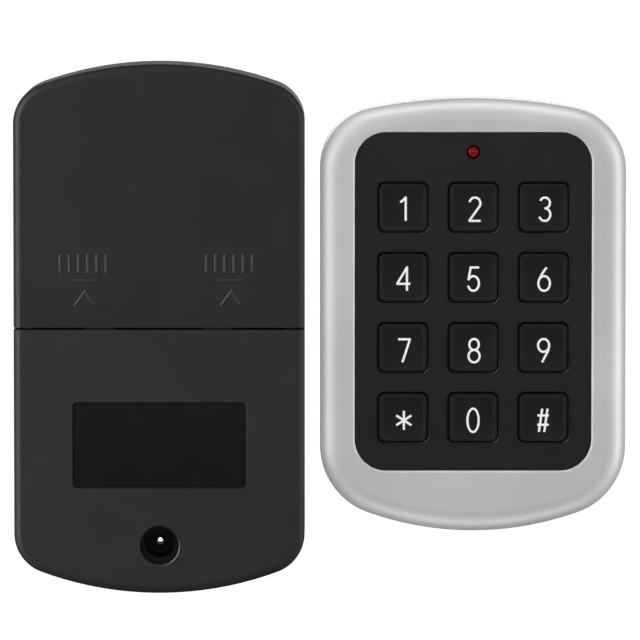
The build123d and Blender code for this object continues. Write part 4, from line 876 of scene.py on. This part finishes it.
# Stage: a pale floor far below, soft boxes round each unit and the long-lens camera
stage = {"floorDrop": 0.6, "floorSize": 60.0, "floorRough": 0.9, "floorSpecular": 0.1, "floorGlow": 0.8,
         "cameraAway": 1.4, "elevationDeg": 4.4, "aim": (32.61, -18.0, 1.86), "frameWidthMm": 129.73,
         "sensorWidth": 36.0, "clipFrom": 0.1, "clipTo": 200.0}
white = linearColour("#ffffff")
floorMesh = bpy.data.meshes.new("floor")
reach, floorZ = stage["floorSize"] / 2, -stage["floorDrop"]
floorMesh.from_pydata([(-reach, -reach, floorZ), (reach, -reach, floorZ), (reach, reach, floorZ),
                       (-reach, reach, floorZ)], [], [(0, 1, 2, 3)])
floor = bpy.data.objects.new("studio_floor", floorMesh)
bpy.context.scene.collection.objects.link(floor)
floorPaint, floorTree = startMaterial("Studio floor, white paint")
floorShade = addNode(floorTree, "ShaderNodeBsdfPrincipled", values={
    "Base Color": linearColour("#f4f4f4"), "Roughness": stage["floorRough"],
    "Specular IOR Level": stage["floorSpecular"], "Emission Color": white,
    "Emission Strength": stage["floorGlow"]})
finishMaterial(floorTree, floorShade)
floorMesh.materials.append(floorPaint)
floor.visible_diffuse = floor.visible_glossy = False

# The room is white to the camera. What the object mirrors is dim in front, bright at the sides, and
# pale straight behind, where the backdrop hangs between dark flags.
room = {"front": 0.04, "left": 0.8, "right": 0.85, "top": 0.5, "floor": 0.12, "behind": 0.3,
        "spread": 2.0, "backdropSpread": 3.0, "flagFrom": 0.0, "flagTo": 0.3}
walls = (("left", "X", -1), ("right", "X", 1), ("top", "Z", 1), ("floor", "Z", -1), ("behind", "Y", 1))
world = bpy.data.worlds.new("studio surroundings")
bpy.context.scene.world = world
world.use_nodes = True
worldTree = world.node_tree
worldTree.nodes.clear()
towards = addNode(worldTree, "ShaderNodeSeparateXYZ", links={
    "Vector": addNode(worldTree, "ShaderNodeTexCoord").outputs["Generated"]})
flags = rangeOf(worldTree, towards.outputs["Y"], 1.0, 0.0, room["flagFrom"], room["flagTo"])
glowSoFar = {}   # the first wall is added to the front's own glow, each later one to the sum so far
for wall, axis, sign in walls:
    facing = addMath(worldTree, "MULTIPLY", {1: sign}, {0: towards.outputs[axis]}, clamp=True)
    if wall == "behind":
        lobe = addMath(worldTree, "POWER", {1: room["backdropSpread"]}, {0: facing})
    else:
        lobe = addMath(worldTree, "POWER", {1: room["spread"]}, {0: facing})
        lobe = addMath(worldTree, "MULTIPLY", links={0: lobe, 1: flags})
    glow = addMath(worldTree, "MULTIPLY_ADD", {1: room[wall], 2: room["front"]}, {0: lobe, **glowSoFar})
    glowSoFar = {2: glow}
dimRoom = addNode(worldTree, "ShaderNodeBackground", values={"Color": white}, links={"Strength": glow})
whiteRoom = addNode(worldTree, "ShaderNodeBackground", values={"Color": white, "Strength": 1.0})
seen = addNode(worldTree, "ShaderNodeLightPath").outputs["Is Camera Ray"]
bothRooms = addNode(worldTree, "ShaderNodeMixShader",
                    links={0: seen, 1: dimRoom.outputs[0], 2: whiteRoom.outputs[0]})
addNode(worldTree, "ShaderNodeOutputWorld", links={"Surface": bothRooms.outputs[0]})

# Soft boxes stand round each unit, which is lit as if it lay there alone: place from its middle, width
# and height
softBoxes = {"left": ((-1.0, -0.25, 0.05), 0.5, 1.0), "left near": ((-0.36, -0.24, 0.08), 0.2, 0.45),
             "right": ((1.0, -0.25, 0.05), 0.5, 1.0), "top": ((0.0, -0.1, 1.0), 1.0, 0.5),
             "bottom": ((0.0, -0.35, -0.9), 1.0, 0.5), "front": ((0.0, -1.3, 0.3), 1.4, 0.9),
             "back strip": ((0.0, 1.3, 0.17), 0.9, 0.15), "glint": ((0.0, -1.1, 0.28), 0.12, 0.12),
             "rake": ((-0.6, -0.6, 0.5), 0.3, 0.3), "wide rake": ((-0.6, -0.6, 0.5), 0.9, 0.9),
             "pin front": ((0.0, -1.1, 0.24), 0.6, 0.7), "back": ((0.45, 1.2, -0.1), 1.6, 1.0)}
lampPower = {"rear": {"left near": 1.2, "right": 0.85, "front": 1.47, "back strip": 0.8},
             "keypad": {"left": 3.2, "left near": 0.4, "right": 4.2, "top": 3.9, "bottom": 2.9,
                        "front": 2.15, "back strip": 2.0, "glint": 0.15}}

# Lamps flagged off from all but one kind of piece: fine edges, the pin, the status light and the backs
fineLamps = (("rear", "rake", 1.2, ("grip_mark",)), ("rear", "wide rake", 3.6, ("inlet_lip",)),
             ("rear", "pin front", 4.0, ("jack_pin",)), ("keypad", "wide rake", 7.0, ("key_lip",)),
             ("keypad", "glint", 1.2, ("light_lens",)), ("rear", "back", 6.0, ("back_plate", "case_screw")),
             ("keypad", "back", 6.0,
              ("keypad_back", "case_screw", "keypad_socket", "header_pin", "mount_inserts")))


def addSoftBox(boxName, litName, target, power, lit, blockers):
    name = f"{boxName} box, {litName}"
    offset, width, height = softBoxes[boxName]
    place = target + Vector(offset)
    light = bpy.data.lights.new(name, "AREA")
    light.shape, light.size, light.size_y, light.energy = "RECTANGLE", width, height, power
    holder = bpy.data.objects.new(name, light)
    holder.location = place
    holder.rotation_euler = (target - place).to_track_quat("-Z", "Y").to_euler()
    holder.visible_camera = False
    holder.light_linking.receiver_collection = lit
    holder.light_linking.blocker_collection = blockers
    bpy.context.scene.collection.objects.link(holder)


keypadLow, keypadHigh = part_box("keypad_bezel")
for unitName, unitLow, unitHigh in (("rear", housingLow, housingHigh), ("keypad", keypadLow, keypadHigh)):
    unit = bpy.data.collections.new(f"{unitName} unit")
    for piece in bpy.context.scene.objects:
        if piece.type == "MESH" and piece is not floor:
            farSide = max((piece.matrix_world @ Vector(corner)).x for corner in piece.bound_box)
            onKeypad = farSide > keypadLow.x and not piece.name.startswith(("case_screws", "small_screws"))
            if onKeypad == (unitName == "keypad"):
                unit.objects.link(piece)
    unitMiddle = (unitLow + unitHigh) / 2
    for boxName, power in lampPower[unitName].items():
        addSoftBox(boxName, unitName, unitMiddle, power, unit, unit)
    for fineUnit, boxName, power, pieceNames in fineLamps:
        if fineUnit == unitName:
            lit = bpy.data.collections.new(f"{pieceNames[0]} lit")
            for piece in unit.objects:
                if piece.name.startswith(pieceNames):
                    lit.objects.link(piece)
            addSoftBox(boxName, pieceNames[0], unitMiddle, power, lit, lit)

camera = bpy.data.cameras.new("photo camera")
camera.sensor_width = stage["sensorWidth"]
camera.lens = camera.sensor_width * stage["cameraAway"] / (stage["frameWidthMm"] * mm)
camera.clip_start, camera.clip_end = stage["clipFrom"], stage["clipTo"]
cameraHolder = bpy.data.objects.new("photo camera", camera)
aim = Vector(stage["aim"]) * mm
tilt = math.radians(stage["elevationDeg"])
cameraHolder.location = aim + Vector((0, -math.cos(tilt), math.sin(tilt))) * stage["cameraAway"]
cameraHolder.rotation_euler = (aim - cameraHolder.location).to_track_quat("-Z", "Y").to_euler()
bpy.context.scene.collection.objects.link(cameraHolder)
bpy.context.scene.camera = cameraHolder
bpy.context.scene.view_settings.view_transform = "Standard"
print("stage, lights and camera set")
